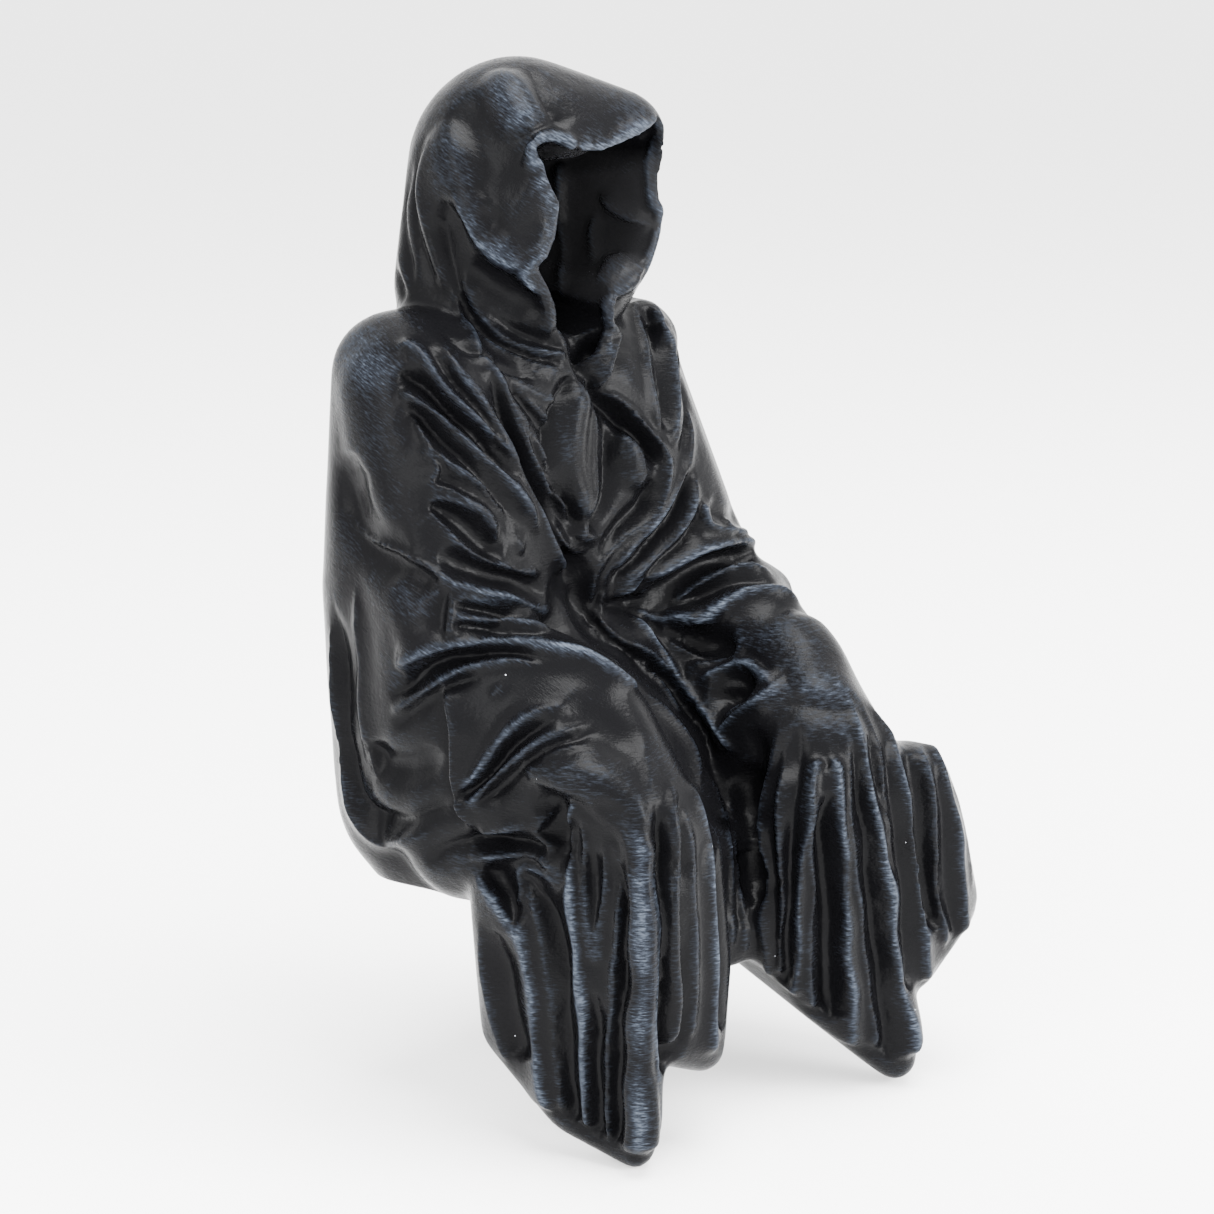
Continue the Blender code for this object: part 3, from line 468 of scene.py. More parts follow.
# The sides that the sketch doesn't show
FAR_RUNS = [
    Run(CREST, 3.4, 1.0, 4, places("46,-24,15 48,-23,2 47,-22,-12"),
        places("48,-49,14 52,-51,0 50,-52,-13"), 0.5),
    Run(GROOVE, 2.6, 1.0, 4, places("46,-20,12 48,-20,0 47,-19,-12"),
        places("48,-44,13 51,-46,0 49,-47,-12"), 0.5),
    Run(CREST, 4.2, 0.9, 3, places("20,12,128 24,14,112 21,16,96"), places("4,30,128 7,34,110 9,30,94"),
        0.4),
]

# The back of the cloak and the far sleeve
BACK_FOLDS = folds_of(
    (ROLL, 9, 1.6, "-17,34,76 -21,34,44 -22,34,8", (18, 8)),
    (ROLL, 8, 1.4, "15,34,70 18,34,40 21,34,8", (18, 8)),
    (HOLLOW, 9, 1.6, "0,34,80 -2,34,46 -1,34,6", (16, 8)),
    (CREST, 4, 1.2, "-21,26,92 -12,34,82 -1,34,78 11,34,82 21,26,92", (8, 8)),
    (GROOVE, 3, 1.0, "-23,26,86 -12,34,75 1,34,71 14,34,77", (8, 8)),
    (CREST, 4, 1.1, "-26,24,80 -14,34,66 -1,34,60 8,34,60", (8, 10)),
    (CREST, 3.6, 1.6, "-9,34,92 -12,34,66 -17,34,36 -16,34,4", (26, 5)),
    (GROOVE, 2.8, 1.4, "-7,34,66 -11,34,40 -10,34,8", (14, 6)),
    (CREST, 4, 1.5, "8,34,90 8,34,60 12,34,32 11,34,4", (24, 5)),
    (GROOVE, 3, 1.3, "13,34,56 17,34,32 16,34,8", (14, 6)),
    (CREST, 3, 1.1, "23,30,62 26,32,36 27,32,6", (14, 6)),
    (CREST, 3, 1.2, "-24,30,54 -27,32,32 -29,32,6", (14, 6)),
    (CREST, 3, 1.0, "1,34,50 2,34,28 0,34,5", (12, 6)),
    (CREST, 3.6, 1.5, "30,6,92 38,4,70 42,-6,50 40,-20,38", (10, 8)),
    (GROOVE, 3, 1.2, "32,10,84 40,8,62 44,-2,44 42,-16,33", (10, 8)),
    (CREST, 4, 1.8, "32,15,88 42,13,62 45,2,42 44,-15,28", (12, 8)),
    (CREST, 4, 1.5, "32,22,78 42,20,52 45,10,30 46,-8,17", (12, 8)),
    (GROOVE, 3.4, 1.2, "34,24,58 42,20,36 44,8,18", (10, 8)),
    (CREST, 4, 1.2, "32,28,60 40,26,36 43,18,16 42,4,8", (12, 8)),
)

# The groups in the order that they are carved, and how much of the dry brush their crests take
FOLD_GROUPS = [
    (HOOD_FOLDS, 0.8), (RIGHT_CHEST_FOLDS, 0.6), (BREAST_FOLDS, 0.5), (LEFT_CHEST_FOLDS, 0.75),
    (LAP_FOLDS, 0.5), (RIGHT_THIGH_FOLDS, 0.75), (RIGHT_LEG_FOLDS, 0.95), (LEFT_LEG_FOLDS, 0.8),
    (CLOAK_FOLDS, 0.5), (BACK_FOLDS, 0.5), *((run.folds(), 0.5) for run in FAR_RUNS),
]

# Where the dry brush was dragged over more than an edge
PATCHES = [Patch(spot, radius, load) for radius, load, path in (
    (11, 0.42, "490,80"), (10, 0.5, "506,98"), (8, 0.55, "520,116"), (5, 0.65, "534,138 500,256"),
    (5, 0.4, "560,138"), (5, 0.6, "600,142 702,712 776,692"), (6, 0.6, "636,122 682,688"),
    (8, 0.35, "620,92 340,400 350,540 424,590"), (2.6, 0.7, "543,181 550,195 553,212 551,230 545,246"),
    # The patches at 474,122 and 446,142 on the hood's side are a thin dry brush haze and in part a painted
    # sheen, lightening the side where the lights leave it dark.
    (12, 0.3, "474,122 372,430"), (9, 0.3, "446,142 372,570"), (7, 0.4, "452,182 900,752 930,752"),
    (6, 0.5, "478,230"), (5, 0.7, "524,272"), (4, 0.4, "536,292"), (8, 0.6, "352,352"),
    (8, 0.5, "372,366 842,712"), (8, 0.4, "400,670 352,800"), (9, 0.25, "390,850"), (8, 0.25, "440,870"),
    (6, 0.4, "466,868"), (7, 0.15, "570,790"), (7, 0.2, "612,776"), (7, 0.3, "664,758"),
    (4.5, 0.4, "641,880 643,930 643,980 641,1030 639,1080 638,1130"), (5, 0.55, "666,660"),
    (5, 0.5, "670,615"), (9, 0.4, "740,642 770,630"), (9, 0.5, "824,690"), (9, 0.45, "796,656"),
) for spot in places(path)]


@dataclass(frozen=True)
class Sketch:
    """The drawing that the folds are placed on, as the eye that sees it stands to the figure.

    Attributes:
        azimuth: degrees round from the figure's front.
        elevation: degrees above the level.
        distance: how far off the eye is, in drawn units.
        scale: the sketch's pixels for one unit across at one unit away.
        centre: the middle of the sketch, in its pixels.
        seat_point: where the front of the seat falls, in its pixels.
    """

    azimuth: float = -48.0
    elevation: float = 14.0
    distance: float = 508.0
    scale: float = 2866.0
    centre: tuple[float, float] = (607.0, 607.0)
    seat_point: tuple[float, float] = (553.0, 845.0)

    def axes(self) -> tuple[Vector, Vector, Vector]:
        """The sketch's right, up and forward directions.

        Returns:
            Three unit vectors.
        """
        turn = math.radians(self.azimuth)
        tilt = math.radians(self.elevation)
        right = Vector((math.cos(turn), math.sin(turn), 0))
        forward = Vector((-math.sin(turn) * math.cos(tilt), math.cos(turn) * math.cos(tilt), -math.sin(tilt)))
        return right, right.cross(forward), forward

    def eye(self) -> Vector:
        """Where the sketch is seen from.

        Returns:
            A point, in drawn units.
        """
        right, up, forward = self.axes()
        per_pixel = self.distance / self.scale
        across = (self.seat_point[0] - self.centre[0]) * per_pixel
        down = (self.seat_point[1] - self.centre[1]) * per_pixel
        return -forward * self.distance - right * across + up * down

    def ray(self, place: Place) -> Vector:
        """The direction from the eye through a place on the sketch.

        Args:
            place: the place, in the sketch's pixels.

        Returns:
            A unit vector.
        """
        right, up, forward = self.axes()
        across = (place[0] - self.centre[0]) / self.scale
        down = (place[1] - self.centre[1]) / self.scale
        return (forward + right * across - up * down).normalized()


def smooth_line(points: np.ndarray, steps: int) -> np.ndarray:
    """A Catmull-Rom curve through a few points.

    Args:
        points: the points, one to a row.
        steps: how many points of the curve each stretch gets.

    Returns:
        The curve's points, one to a row.
    """
    ends = [2 * points[0] - points[1], *points, 2 * points[-1] - points[-2]]
    line = []
    for before, start, end, after in zip(ends, ends[1:], ends[2:], ends[3:]):
        for t in np.arange(steps) / steps:
            bend = (2 * before - 5 * start + 4 * end - after) * t * t
            swing = (3 * start - before - 3 * end + after) * t ** 3
            line.append((2 * start + (end - before) * t + bend + swing) / 2)
    line.append(points[-1])
    return np.array(line)


@dataclass(frozen=True)
class Section:
    """What a shape's cross-section is like.

    Attributes:
        spread: how wide it is, as a share of the fold's half width.
        power: how it falls away: near 1 is a sharp line, 3 a round one, 6 a flat top with steep sides.
        sign: 1 for a fold that stands out, -1 for one that sinks in.
    """

    spread: float
    power: float
    sign: float = 1.0


SECTIONS = {
    ROLL: Section(0.75, 2.8),
    HOLLOW: Section(0.75, 2.8, -1.0),
    PIPE: Section(0.95, 5.0),
    CREST: Section(0.62, 1.3),
    GROOVE: Section(0.6, 1.35, -1.0),
    LAP: Section(0.9, 1.6),
}


def dots(first: np.ndarray, second: np.ndarray) -> np.ndarray:
    """The dot products of two arrays of vectors, row by row."""
    return np.einsum("ij,ij->i", first, second)


def ramp(values: np.ndarray, start: float, length: float) -> np.ndarray:
    """Rises from 0 to 1 as the values, in metres, pass a start and a length beyond it, in drawn units."""
    return np.clip((values - start * UNIT) / (length * UNIT), 0, 1)


def read_points(mesh: bpy.types.Mesh) -> tuple[np.ndarray, np.ndarray]:
    """Reads a mesh.

    Args:
        mesh: the mesh.

    Returns:
        Its points and their normals, one to a row.
    """
    flat = np.empty(len(mesh.vertices) * 3, np.float32)
    mesh.vertices.foreach_get("co", flat)
    points = flat.reshape(-1, 3).copy()
    mesh.vertex_normals.foreach_get("vector", flat)
    return points, flat.reshape(-1, 3)


@dataclass(frozen=True)
class Wave:
    """A wave along a fold, as a hand wavers.

    Attributes:
        height: how high it is.
        length: how far it runs in one radian, in drawn units.
        shift: how often the fold's own phase it is shifted by.
    """

    height: float
    length: float
    shift: int

    def along(self, marks: np.ndarray, fold: Fold) -> np.ndarray:
        """How high the wave is at each mark along a fold, whose first place gives the phase."""
        phase = fold.line[0][0] + 2 * fold.line[0][1]
        return self.height * np.sin(marks / (self.length * UNIT) + self.shift * phase)


@dataclass
class Skin:
    """A piece's surface while folds are carved into it, in metres.

    Each fold pulls the surface towards its own height, the more the nearer a point lies to its line, so
    the cloth sweeps from one fold into the next.

    Attributes:
        piece: the object.
        sketch: the drawing that the folds are placed on.
        bend_steps: how many steps smooth a line between two of its places.
        line_step: how finely a fold's line is walked, in drawn units.
        leap: a step this long takes a line off the cloth that it runs on, so it is cut there.
        reach: how far a fold pulls, in widths of its cross-section.
        squareness: how squarely a point faces a fold that pulls it in full.
        sway: how far a fold's line strays to either side, in drawn units.
        stray: the waves that it strays in.
        waver: the waves that its height wavers in.
        depth: what every fold's height is multiplied by.
        bluntness: how blunt the sharpest line is.
        lap_fall: how fast the cloth falls away from a lap's edge.
        lap_sink: how far it sinks there, as a share of the lap's height.
        worn: where the crests run, each point with how much of the dry brush it takes.
    """

    piece: bpy.types.Object
    sketch: Sketch
    bend_steps: int = 8
    line_step: float = 0.5
    leap: float = 7.0
    reach: float = 3.4
    squareness: float = 0.4
    sway: float = 0.22
    stray: tuple[Wave, Wave] = (Wave(1.0, 4.1, 1), Wave(0.6, 1.9, 2))
    waver: tuple[Wave, Wave] = (Wave(0.14, 5.5, 1), Wave(0.08, 2.3, 3))
    depth: float = 1.25
    bluntness: float = 0.05
    lap_fall: float = 5.0
    lap_sink: float = 0.45
    worn: list[tuple[Vector, float]] = field(default_factory=list)

    def __post_init__(self) -> None:
        """Reads the surface."""
        self.read()

    def read(self) -> None:
        """Reads the mesh's points and normals, and clears what is carved so far."""
        self.points, self.normals = read_points(self.piece.data)
        shape = bmesh.new()
        shape.from_mesh(self.piece.data)
        self.tree = BVHTree.FromBMesh(shape)
        shape.free()
        self.pull = np.ones(len(self.points), np.float32)
        self.lift = np.zeros(len(self.points), np.float32)

    def press(self) -> None:
        """Moves each point along its normal by what is carved there, and reads the surface again."""
        moved = self.points + self.normals * (self.lift / self.pull)[:, None]
        self.piece.data.vertices.foreach_set("co", moved.reshape(-1))
        self.piece.data.update()
        self.read()

    def drop(self, place: Place) -> tuple[Vector, Vector]:
        """The point of the surface that a fold's place falls on.

        Args:
            place: two numbers on the sketch, or three in space.

        Returns:
            The point and the normal there.
        """
        if len(place) == 3:
            hit, normal, _, _ = self.tree.find_nearest(Vector(place) * UNIT)
            return hit, normal
        eye = self.sketch.eye()
        ray = self.sketch.ray(place)
        hit, normal, _, _ = self.tree.ray_cast(eye * UNIT, ray)
        if hit is None:
            hit, normal, _, _ = self.tree.find_nearest((eye + ray * self.sketch.distance) * UNIT)
        return hit, normal

    def walk(self, fold: Fold) -> tuple[np.ndarray, np.ndarray, np.ndarray]:
        """A fold's line on the surface, in even steps, straying a little as a hand does.

        Args:
            fold: the fold.

        Returns:
            The line's points, its normals, and how far along each lies.
        """
        line = smooth_line(np.array(fold.line, float), self.bend_steps)
        hits = [self.drop(place) for place in line]
        points = np.array([point for point, _ in hits])
        normals = np.array([normal for _, normal in hits])
        jumps = np.flatnonzero(np.linalg.norm(np.diff(points, axis=0), axis=1) > self.leap * UNIT) + 1
        longest = max(np.split(np.arange(len(points)), jumps), key=len)
        points, normals = points[longest], normals[longest]
        at = np.concatenate([[0], np.cumsum(np.linalg.norm(np.diff(points, axis=0), axis=1))])
        marks = np.linspace(0, at[-1], max(4, int(at[-1] / (self.line_step * UNIT))))
        points = np.stack([np.interp(marks, at, column) for column in points.T], axis=1)
        normals = np.stack([np.interp(marks, at, column) for column in normals.T], axis=1)
        sideways = np.cross(np.gradient(points, axis=0), normals)
        sideways /= np.linalg.norm(sideways, axis=1)[:, None] + 1e-12
        slow, quick = (wave.along(marks, fold) for wave in self.stray)
        points += sideways * ((slow + quick) * self.sway * UNIT)[:, None]
        return points.astype(np.float32), normals.astype(np.float32), marks

    def carve(self, fold: Fold, wear: float = 1.0) -> None:
        """Carves one fold.

        Args:
            fold: the fold.
            wear: how much of the dry brush its group takes.
        """
        section = SECTIONS[fold.shape]
        points, normals, marks = self.walk(fold)
        rise = self.ends(marks, fold)
        widths = fold.half_width * section.spread * UNIT * (0.5 + 0.5 * np.clip(rise, 0, 1))
        far = self.reach * widths.max()
        low = points.min(axis=0) - far
        high = points.max(axis=0) + far
        near = np.flatnonzero(((self.points > low) & (self.points < high)).all(axis=1))
        spots = self.points[near]
        gaps = (spots ** 2).sum(1)[:, None] + (points ** 2).sum(1)[None] - 2 * spots @ points.T
        closest = gaps.argmin(axis=1)
        away = spots - points[closest]
        u = np.linalg.norm(away, axis=1) / widths[closest]
        facing = np.clip(dots(self.normals[near], normals[closest]) / self.squareness, 0, 1)
        window = np.clip(1 - (u / self.reach) ** 2, 0, 1) ** 2 * facing
        pull = rise[closest] * window / (u ** section.power + self.bluntness)
        height = np.full(len(near), section.sign * fold.height * self.depth * UNIT)
        if fold.shape is LAP:
            along = np.gradient(points, axis=0)[closest]
            side = dots(np.cross(along, normals[closest]), away)
            height *= np.where(side > 0, 1, np.clip(1 - self.lap_fall * u, -self.lap_sink, 1))
        self.pull[near] += pull
        self.lift[near] += pull * height * rise[closest]
        if fold.shape in (CREST, PIPE):
            earned = wear * min(fold.height / 2, 1.0)
            load = (earned if fold.load is None else fold.load) * rise
            out = points + normals * (fold.height * UNIT * rise)[:, None]
            self.worn += [(Vector(spot), share) for spot, share in zip(out.tolist(), load.tolist())]

    def ends(self, marks: np.ndarray, fold: Fold) -> np.ndarray:
        """How a fold rises at its start, dies away at its end, and wavers between.

        Args:
            marks: how far along the line each point lies.
            fold: the fold.

        Returns:
            The share of its full height at each point.
        """
        start, end = fold.fade
        rise = ramp(marks, 0, start) * ramp(marks[-1] - marks, 0, end)
        slow, quick = (wave.along(marks, fold) for wave in self.waver)
        return rise * (2 - rise) * (1 + slow + quick)


@dataclass
class HoodHollow:
    """The hollow of the empty hood: its mouth drawn back, closing in with depth.

    Attributes:
        mouth: the opening's outline as (x, z), clockwise from the near brow corner.
        centre: what the outline closes in on.
        mouth_y: where the opening stands.
        back_y: where the back of the hood stands.
        back_wall: how thick the hood is there.
        stages: how far back each stage lies, as a share of the depth, and its width.
    """

    mouth: tuple[Place, ...] = (
        (-12.2, 125.5), (-8, 125), (-4.5, 123.2), (0.4, 123), (5.3, 124.3), (11, 126), (16, 127.2),
        (18.3, 124.8), (16.3, 119.8), (17.1, 114.7), (18.2, 108.7), (16.2, 104.6), (12.5, 99.8),
        (8.2, 98.3), (5.5, 95.1), (7, 91), (4, 87.5), (-2.5, 88.5), (-6.3, 92), (-7, 96.6),
        (-8.8, 99.8), (-11.7, 103.8), (-8.7, 109.2), (-7.6, 114.5), (-10.6, 118.4), (-13.2, 122.5),
    )
    centre: Place = (8.0, 107.5)
    mouth_y: float = -9.0
    back_y: float = 27.0
    back_wall: float = 10.0
    stages: tuple[Place, ...] = ((0.0, 1.0), (0.15, 0.88), (0.6, 0.76), (1.0, 0.5))

    def cutter(self) -> bpy.types.Object:
        """The solid that is cut from the hood.

        Returns:
            An object, linked to the scene until the cut removes it.
        """
        shape = bmesh.new()
        middle = Vector((self.centre[0], 0, self.centre[1])) * UNIT
        depth = (self.back_y - self.back_wall - self.mouth_y) * UNIT
        front = self.mouth_y * UNIT - depth
        face = shape.faces.new([shape.verts.new((x * UNIT, front, z * UNIT)) for x, z in self.mouth])
        at_before, width_before = -depth, 1.0
        for share, width in self.stages:
            grown = bmesh.ops.extrude_face_region(shape, geom=[face])["geom"]
            if share > 0:
                bmesh.ops.delete(shape, geom=[face], context="FACES_ONLY")
            edge = [item for item in grown if isinstance(item, bmesh.types.BMVert)]
            face = next(item for item in grown if isinstance(item, bmesh.types.BMFace))
            bmesh.ops.translate(shape, verts=edge, vec=(0, share * depth - at_before, 0))
            narrower = width / width_before
            bmesh.ops.scale(
                shape, verts=edge, vec=(narrower, 1, narrower), space=Matrix.Translation(-middle)
            )
            at_before, width_before = share * depth, width
        bmesh.ops.recalc_face_normals(shape, faces=shape.faces[:])
        return new_object("hood_hollow", shape)


def new_object(name: str, shape: bmesh.types.BMesh) -> bpy.types.Object:
    """Makes an object of a bmesh and frees it.

    Args:
        name: the object's name.
        shape: its shape.

    Returns:
        The object, at the origin.
    """
    mesh = bpy.data.meshes.new(name)
    shape.to_mesh(mesh)
    shape.free()
    made = bpy.data.objects.new(name, mesh)
    bpy.context.scene.collection.objects.link(made)
    return made


def settle(piece: bpy.types.Object) -> None:
    """Gives a piece its evaluated mesh and drops its modifiers.

    Args:
        piece: the object.
    """
    bpy.context.view_layer.update()
    graph = bpy.context.evaluated_depsgraph_get()
    mesh = bpy.data.meshes.new_from_object(piece.evaluated_get(graph))
    piece.modifiers.clear()
    piece.data = mesh


def fuse(piece: bpy.types.Object, grid: float, rounds: int) -> None:
    """Fuses what overlaps into one skin of even quads, then relaxes it.

    Args:
        piece: the object.
        grid: the quads' size.
        rounds: how many times it is relaxed.
    """
    remesh = piece.modifiers.new("fuse", "REMESH")
    remesh.mode = "VOXEL"
    remesh.voxel_size = grid
    relax = piece.modifiers.new("relax", "SMOOTH")
    relax.factor = 0.5
    relax.iterations = rounds
    settle(piece)


def cut(piece: bpy.types.Object, cutter: bpy.types.Object) -> None:
    """Cuts one shape out of a piece and removes the cutter.

    Args:
        piece: the object that is cut.
        cutter: the shape that is cut out of it.
    """
    boolean = piece.modifiers.new("cut", "BOOLEAN")
    boolean.operation = "DIFFERENCE"
    boolean.object = cutter
    settle(piece)
    bpy.data.objects.remove(cutter)


def srgb(code: str) -> tuple[float, float, float, float]:
    """A colour as the shaders take it.

    Args:
        code: the colour as six hex digits, in sRGB.

    Returns:
        The linear red, green and blue, and a full opacity.
    """
    shares = [int(code[i:i + 2], 16) / 255 for i in (0, 2, 4)]
    linear = [s / 12.92 if s <= 0.04045 else ((s + 0.055) / 1.055) ** 2.4 for s in shares]
    return (*linear, 1.0)


def add_node(
    tree: bpy.types.NodeTree,
    kind: str,
    settings: dict[str, object] | None = None,
    links: dict[str | int, object] | None = None,
) -> bpy.types.Node:
    """Adds a node with its settings and what feeds it.

    Args:
        tree: the node tree.
        kind: the node's type.
        settings: its properties by name.
        links: by input, a socket that feeds it or a value that it is set to.

    Returns:
        The node.
    """
    node = tree.nodes.new(kind)
    for name, value in (settings or {}).items():
        setattr(node, name, value)
    for name, value in (links or {}).items():
        if isinstance(value, bpy.types.NodeSocket):
            tree.links.new(value, node.inputs[name])
        else:
            node.inputs[name].default_value = value
    return node


def mixed(
    tree: bpy.types.NodeTree, kind: str, factor: bpy.types.NodeSocket, first: object, second: object
) -> bpy.types.NodeSocket:
    """Mixes two numbers (FLOAT) or two colours (RGBA), each a socket or a value, by a factor."""
    links = {"Factor": factor, "A": first, "B": second}
    return add_node(tree, "ShaderNodeMix", {"data_type": kind}, links).outputs["Result"]


def bumped(
    tree: bpy.types.NodeTree, height: bpy.types.NodeSocket, size: tuple[float, float], under: dict
) -> dict[str, bpy.types.NodeSocket]:
    """Bumps the normal that lies under, if any, and gives the bumped one as a link to an input."""
    links = {"Strength": size[0], "Distance": size[1], "Height": height, **under}
    return {"Normal": add_node(tree, "ShaderNodeBump", {}, links).outputs["Normal"]}


def spread(
    tree: bpy.types.NodeTree, value: bpy.types.NodeSocket, least: float, full: float, top: float
) -> bpy.types.NodeSocket:
    """A socket that rises smoothly from 0 to a top as a value goes from least to full."""
    limits = {"Value": value, "From Min": least, "From Max": full, "To Max": top}
    smooth = {"interpolation_type": "SMOOTHSTEP"}
    return add_node(tree, "ShaderNodeMapRange", smooth, limits).outputs["Result"]


@dataclass(frozen=True)
class BrushedBlackResin:
    """Cast resin in satin black paint, with a blue-grey dry brush over its edges, and a lighter black painted
    into the hood's hollow as painted light.

    The satin paint gives soft broad sheens. The dry brush leaves fine bristle streaks that run across
    the folds: level on the hanging cloth, slanting on the cloak and the hood.

    Attributes:
        black: the paint.
        hollow_light_black: a lighter black on the hood's inside, painted light that stands in for the light
            reaching into the hollow.
        brush: the dry brush where it is thin.
        brush_bright: the dry brush where it is thick.
        specular: how strongly the paint mirrors.
        roughness: the satin paint's roughness.
        brush_roughness: the dry brush's roughness.
        bristle: the spacing of the bristle streaks.
        streak: how long a streak is.
        slant: how steeply the slanting streaks fall.
        across: the way that they fall, round from the figure's left.
        bristling: how strongly the bristles show.
        cover: the least load of the brush that shows, and the load that covers in full.
        most_cover: how much of the black a full cover hides.
        thick: the least load that counts as thick, and the load that is thickest.
        unevenness: how far apart the casting's hand-made swells lie.
        uneven_bump: how strongly they show, and how high they are.
        pocking: how far apart its fine pocks lie.
        pock_bump: how strongly they show, and how deep they are.
        bristle_bump: the same for the bristle streaks.
        speck_white: the pale specks.
        speck: a speck's radius.
        speck_gap: how far apart the specks lie.
    """

    black: str = "060607"
    hollow_light_black: str = "121213"
    brush: str = "1b1f26"
    brush_bright: str = "3d434c"
    specular: float = 0.034
    roughness: float = 0.26
    brush_roughness: float = 0.62
    bristle: float = 0.00026
    streak: float = 0.0015
    slant: float = math.radians(32)
    across: float = math.radians(-48)
    bristling: float = 1.9
    cover: tuple[float, float] = (0.3, 1.25)
    most_cover: float = 0.85
    thick: tuple[float, float] = (0.7, 1.5)
    unevenness: float = 0.004
    uneven_bump: tuple[float, float] = (0.35, 0.0004)
    pocking: float = 0.0006
    pock_bump: tuple[float, float] = (0.5, 0.0001)
    bristle_bump: tuple[float, float] = (0.6, 0.0001)
    speck_white: str = "b8bcc2"
    speck: float = 0.0001
    speck_gap: float = 0.006

    def streaks(self, tree: bpy.types.NodeTree, turn: tuple[float, float, float]) -> bpy.types.NodeSocket:
        """Bristle streaks along one direction.

        Args:
            tree: the node tree.
            turn: how the streaks are turned from level.

        Returns:
            The socket that gives them, about 0 to 1.
        """
        place = add_node(tree, "ShaderNodeTexCoord")
        turned = add_node(
            tree, "ShaderNodeMapping", {"vector_type": "TEXTURE"},
            {
                "Vector": place.outputs["Object"], "Rotation": turn,
                "Scale": (self.streak, self.streak, self.bristle),
            },
        )
        noise = add_node(
            tree, "ShaderNodeTexNoise", {"noise_dimensions": "3D"},
            {"Vector": turned.outputs["Vector"], "Scale": 1.0, "Detail": 3.0, "Roughness": 0.65},
        )
        return noise.outputs["Fac"]

    def noise(self, tree: bpy.types.NodeTree, size: float) -> bpy.types.NodeSocket:
        """An even noise.

        Args:
            tree: the node tree.
            size: how far apart its bumps lie.

        Returns:
            The socket that gives it, about 0 to 1.
        """
        place = add_node(tree, "ShaderNodeTexCoord")
        noise = add_node(
            tree, "ShaderNodeTexNoise", {"noise_dimensions": "3D"},
            {"Vector": place.outputs["Object"], "Scale": 1 / size, "Detail": 2.0},
        )
        return noise.outputs["Fac"]

    def specks(self, tree: bpy.types.NodeTree) -> bpy.types.NodeSocket:
        """Tiny pale specks, one here and one there.

        Args:
            tree: the node tree.

        Returns:
            The socket that gives them, 1 on a speck and 0 elsewhere.
        """
        place = add_node(tree, "ShaderNodeTexCoord")
        cells = add_node(
            tree, "ShaderNodeTexVoronoi", {},
            {"Vector": place.outputs["Object"], "Scale": 1 / self.speck_gap},
        )
        return add_node(
            tree, "ShaderNodeMath", {"operation": "LESS_THAN"},
            {0: cells.outputs["Distance"], 1: self.speck / self.speck_gap},
        ).outputs[0]

    def material(self) -> bpy.types.Material:
        """The material.

        Returns:
            A material that reads the piece's crest and slant attributes, and the one that marks where light
            is painted into the hood's hollow.
        """
        made = bpy.data.materials.new("brushed_black_resin")
        made.use_nodes = True
        tree = made.node_tree
        shader = tree.nodes["Principled BSDF"]
        crest, painted_hollow_light, slant = (
            add_node(tree, "ShaderNodeAttribute", {"attribute_name": name}).outputs["Fac"]
            for name in ("crest", "painted_hollow_light", "slant")
        )
        level = self.streaks(tree, (0, 0, 0))
        slanting = self.streaks(tree, (0, self.slant, self.across))
        grain = mixed(tree, "FLOAT", slant, level, slanting)
        loaded = add_node(
            tree, "ShaderNodeMath", {"operation": "MULTIPLY_ADD"},
            {0: grain, 1: self.bristling, 2: -self.bristling / 2},
        ).outputs[0]
        taken = add_node(tree, "ShaderNodeMath", {"operation": "ADD"}, {0: crest, 1: loaded}).outputs[0]
        cover = spread(tree, taken, *self.cover, self.most_cover)
        thick = spread(tree, taken, *self.thick, 1.0)
        # The hood's inside is painted a lighter black: painted light, standing in for the light that reaches
        # into the hollow.
        under = mixed(tree, "RGBA", painted_hollow_light, srgb(self.black), srgb(self.hollow_light_black))
        dust = mixed(tree, "RGBA", thick, srgb(self.brush), srgb(self.brush_bright))
        painted = mixed(tree, "RGBA", cover, under, dust)
        colour = mixed(tree, "RGBA", self.specks(tree), painted, srgb(self.speck_white))
        rough = add_node(
            tree, "ShaderNodeMapRange", {},
            {"Value": cover, "To Min": self.roughness, "To Max": self.brush_roughness},
        ).outputs["Result"]
        bump = bumped(tree, self.noise(tree, self.unevenness), self.uneven_bump, {})
        bump = bumped(tree, self.noise(tree, self.pocking), self.pock_bump, bump)
        bump = bumped(tree, grain, self.bristle_bump, bump)
        shader.inputs["Specular IOR Level"].default_value = self.specular
        tree.links.new(colour, shader.inputs["Base Color"])
        tree.links.new(rough, shader.inputs["Roughness"])
        tree.links.new(bump["Normal"], shader.inputs["Normal"])
        return made


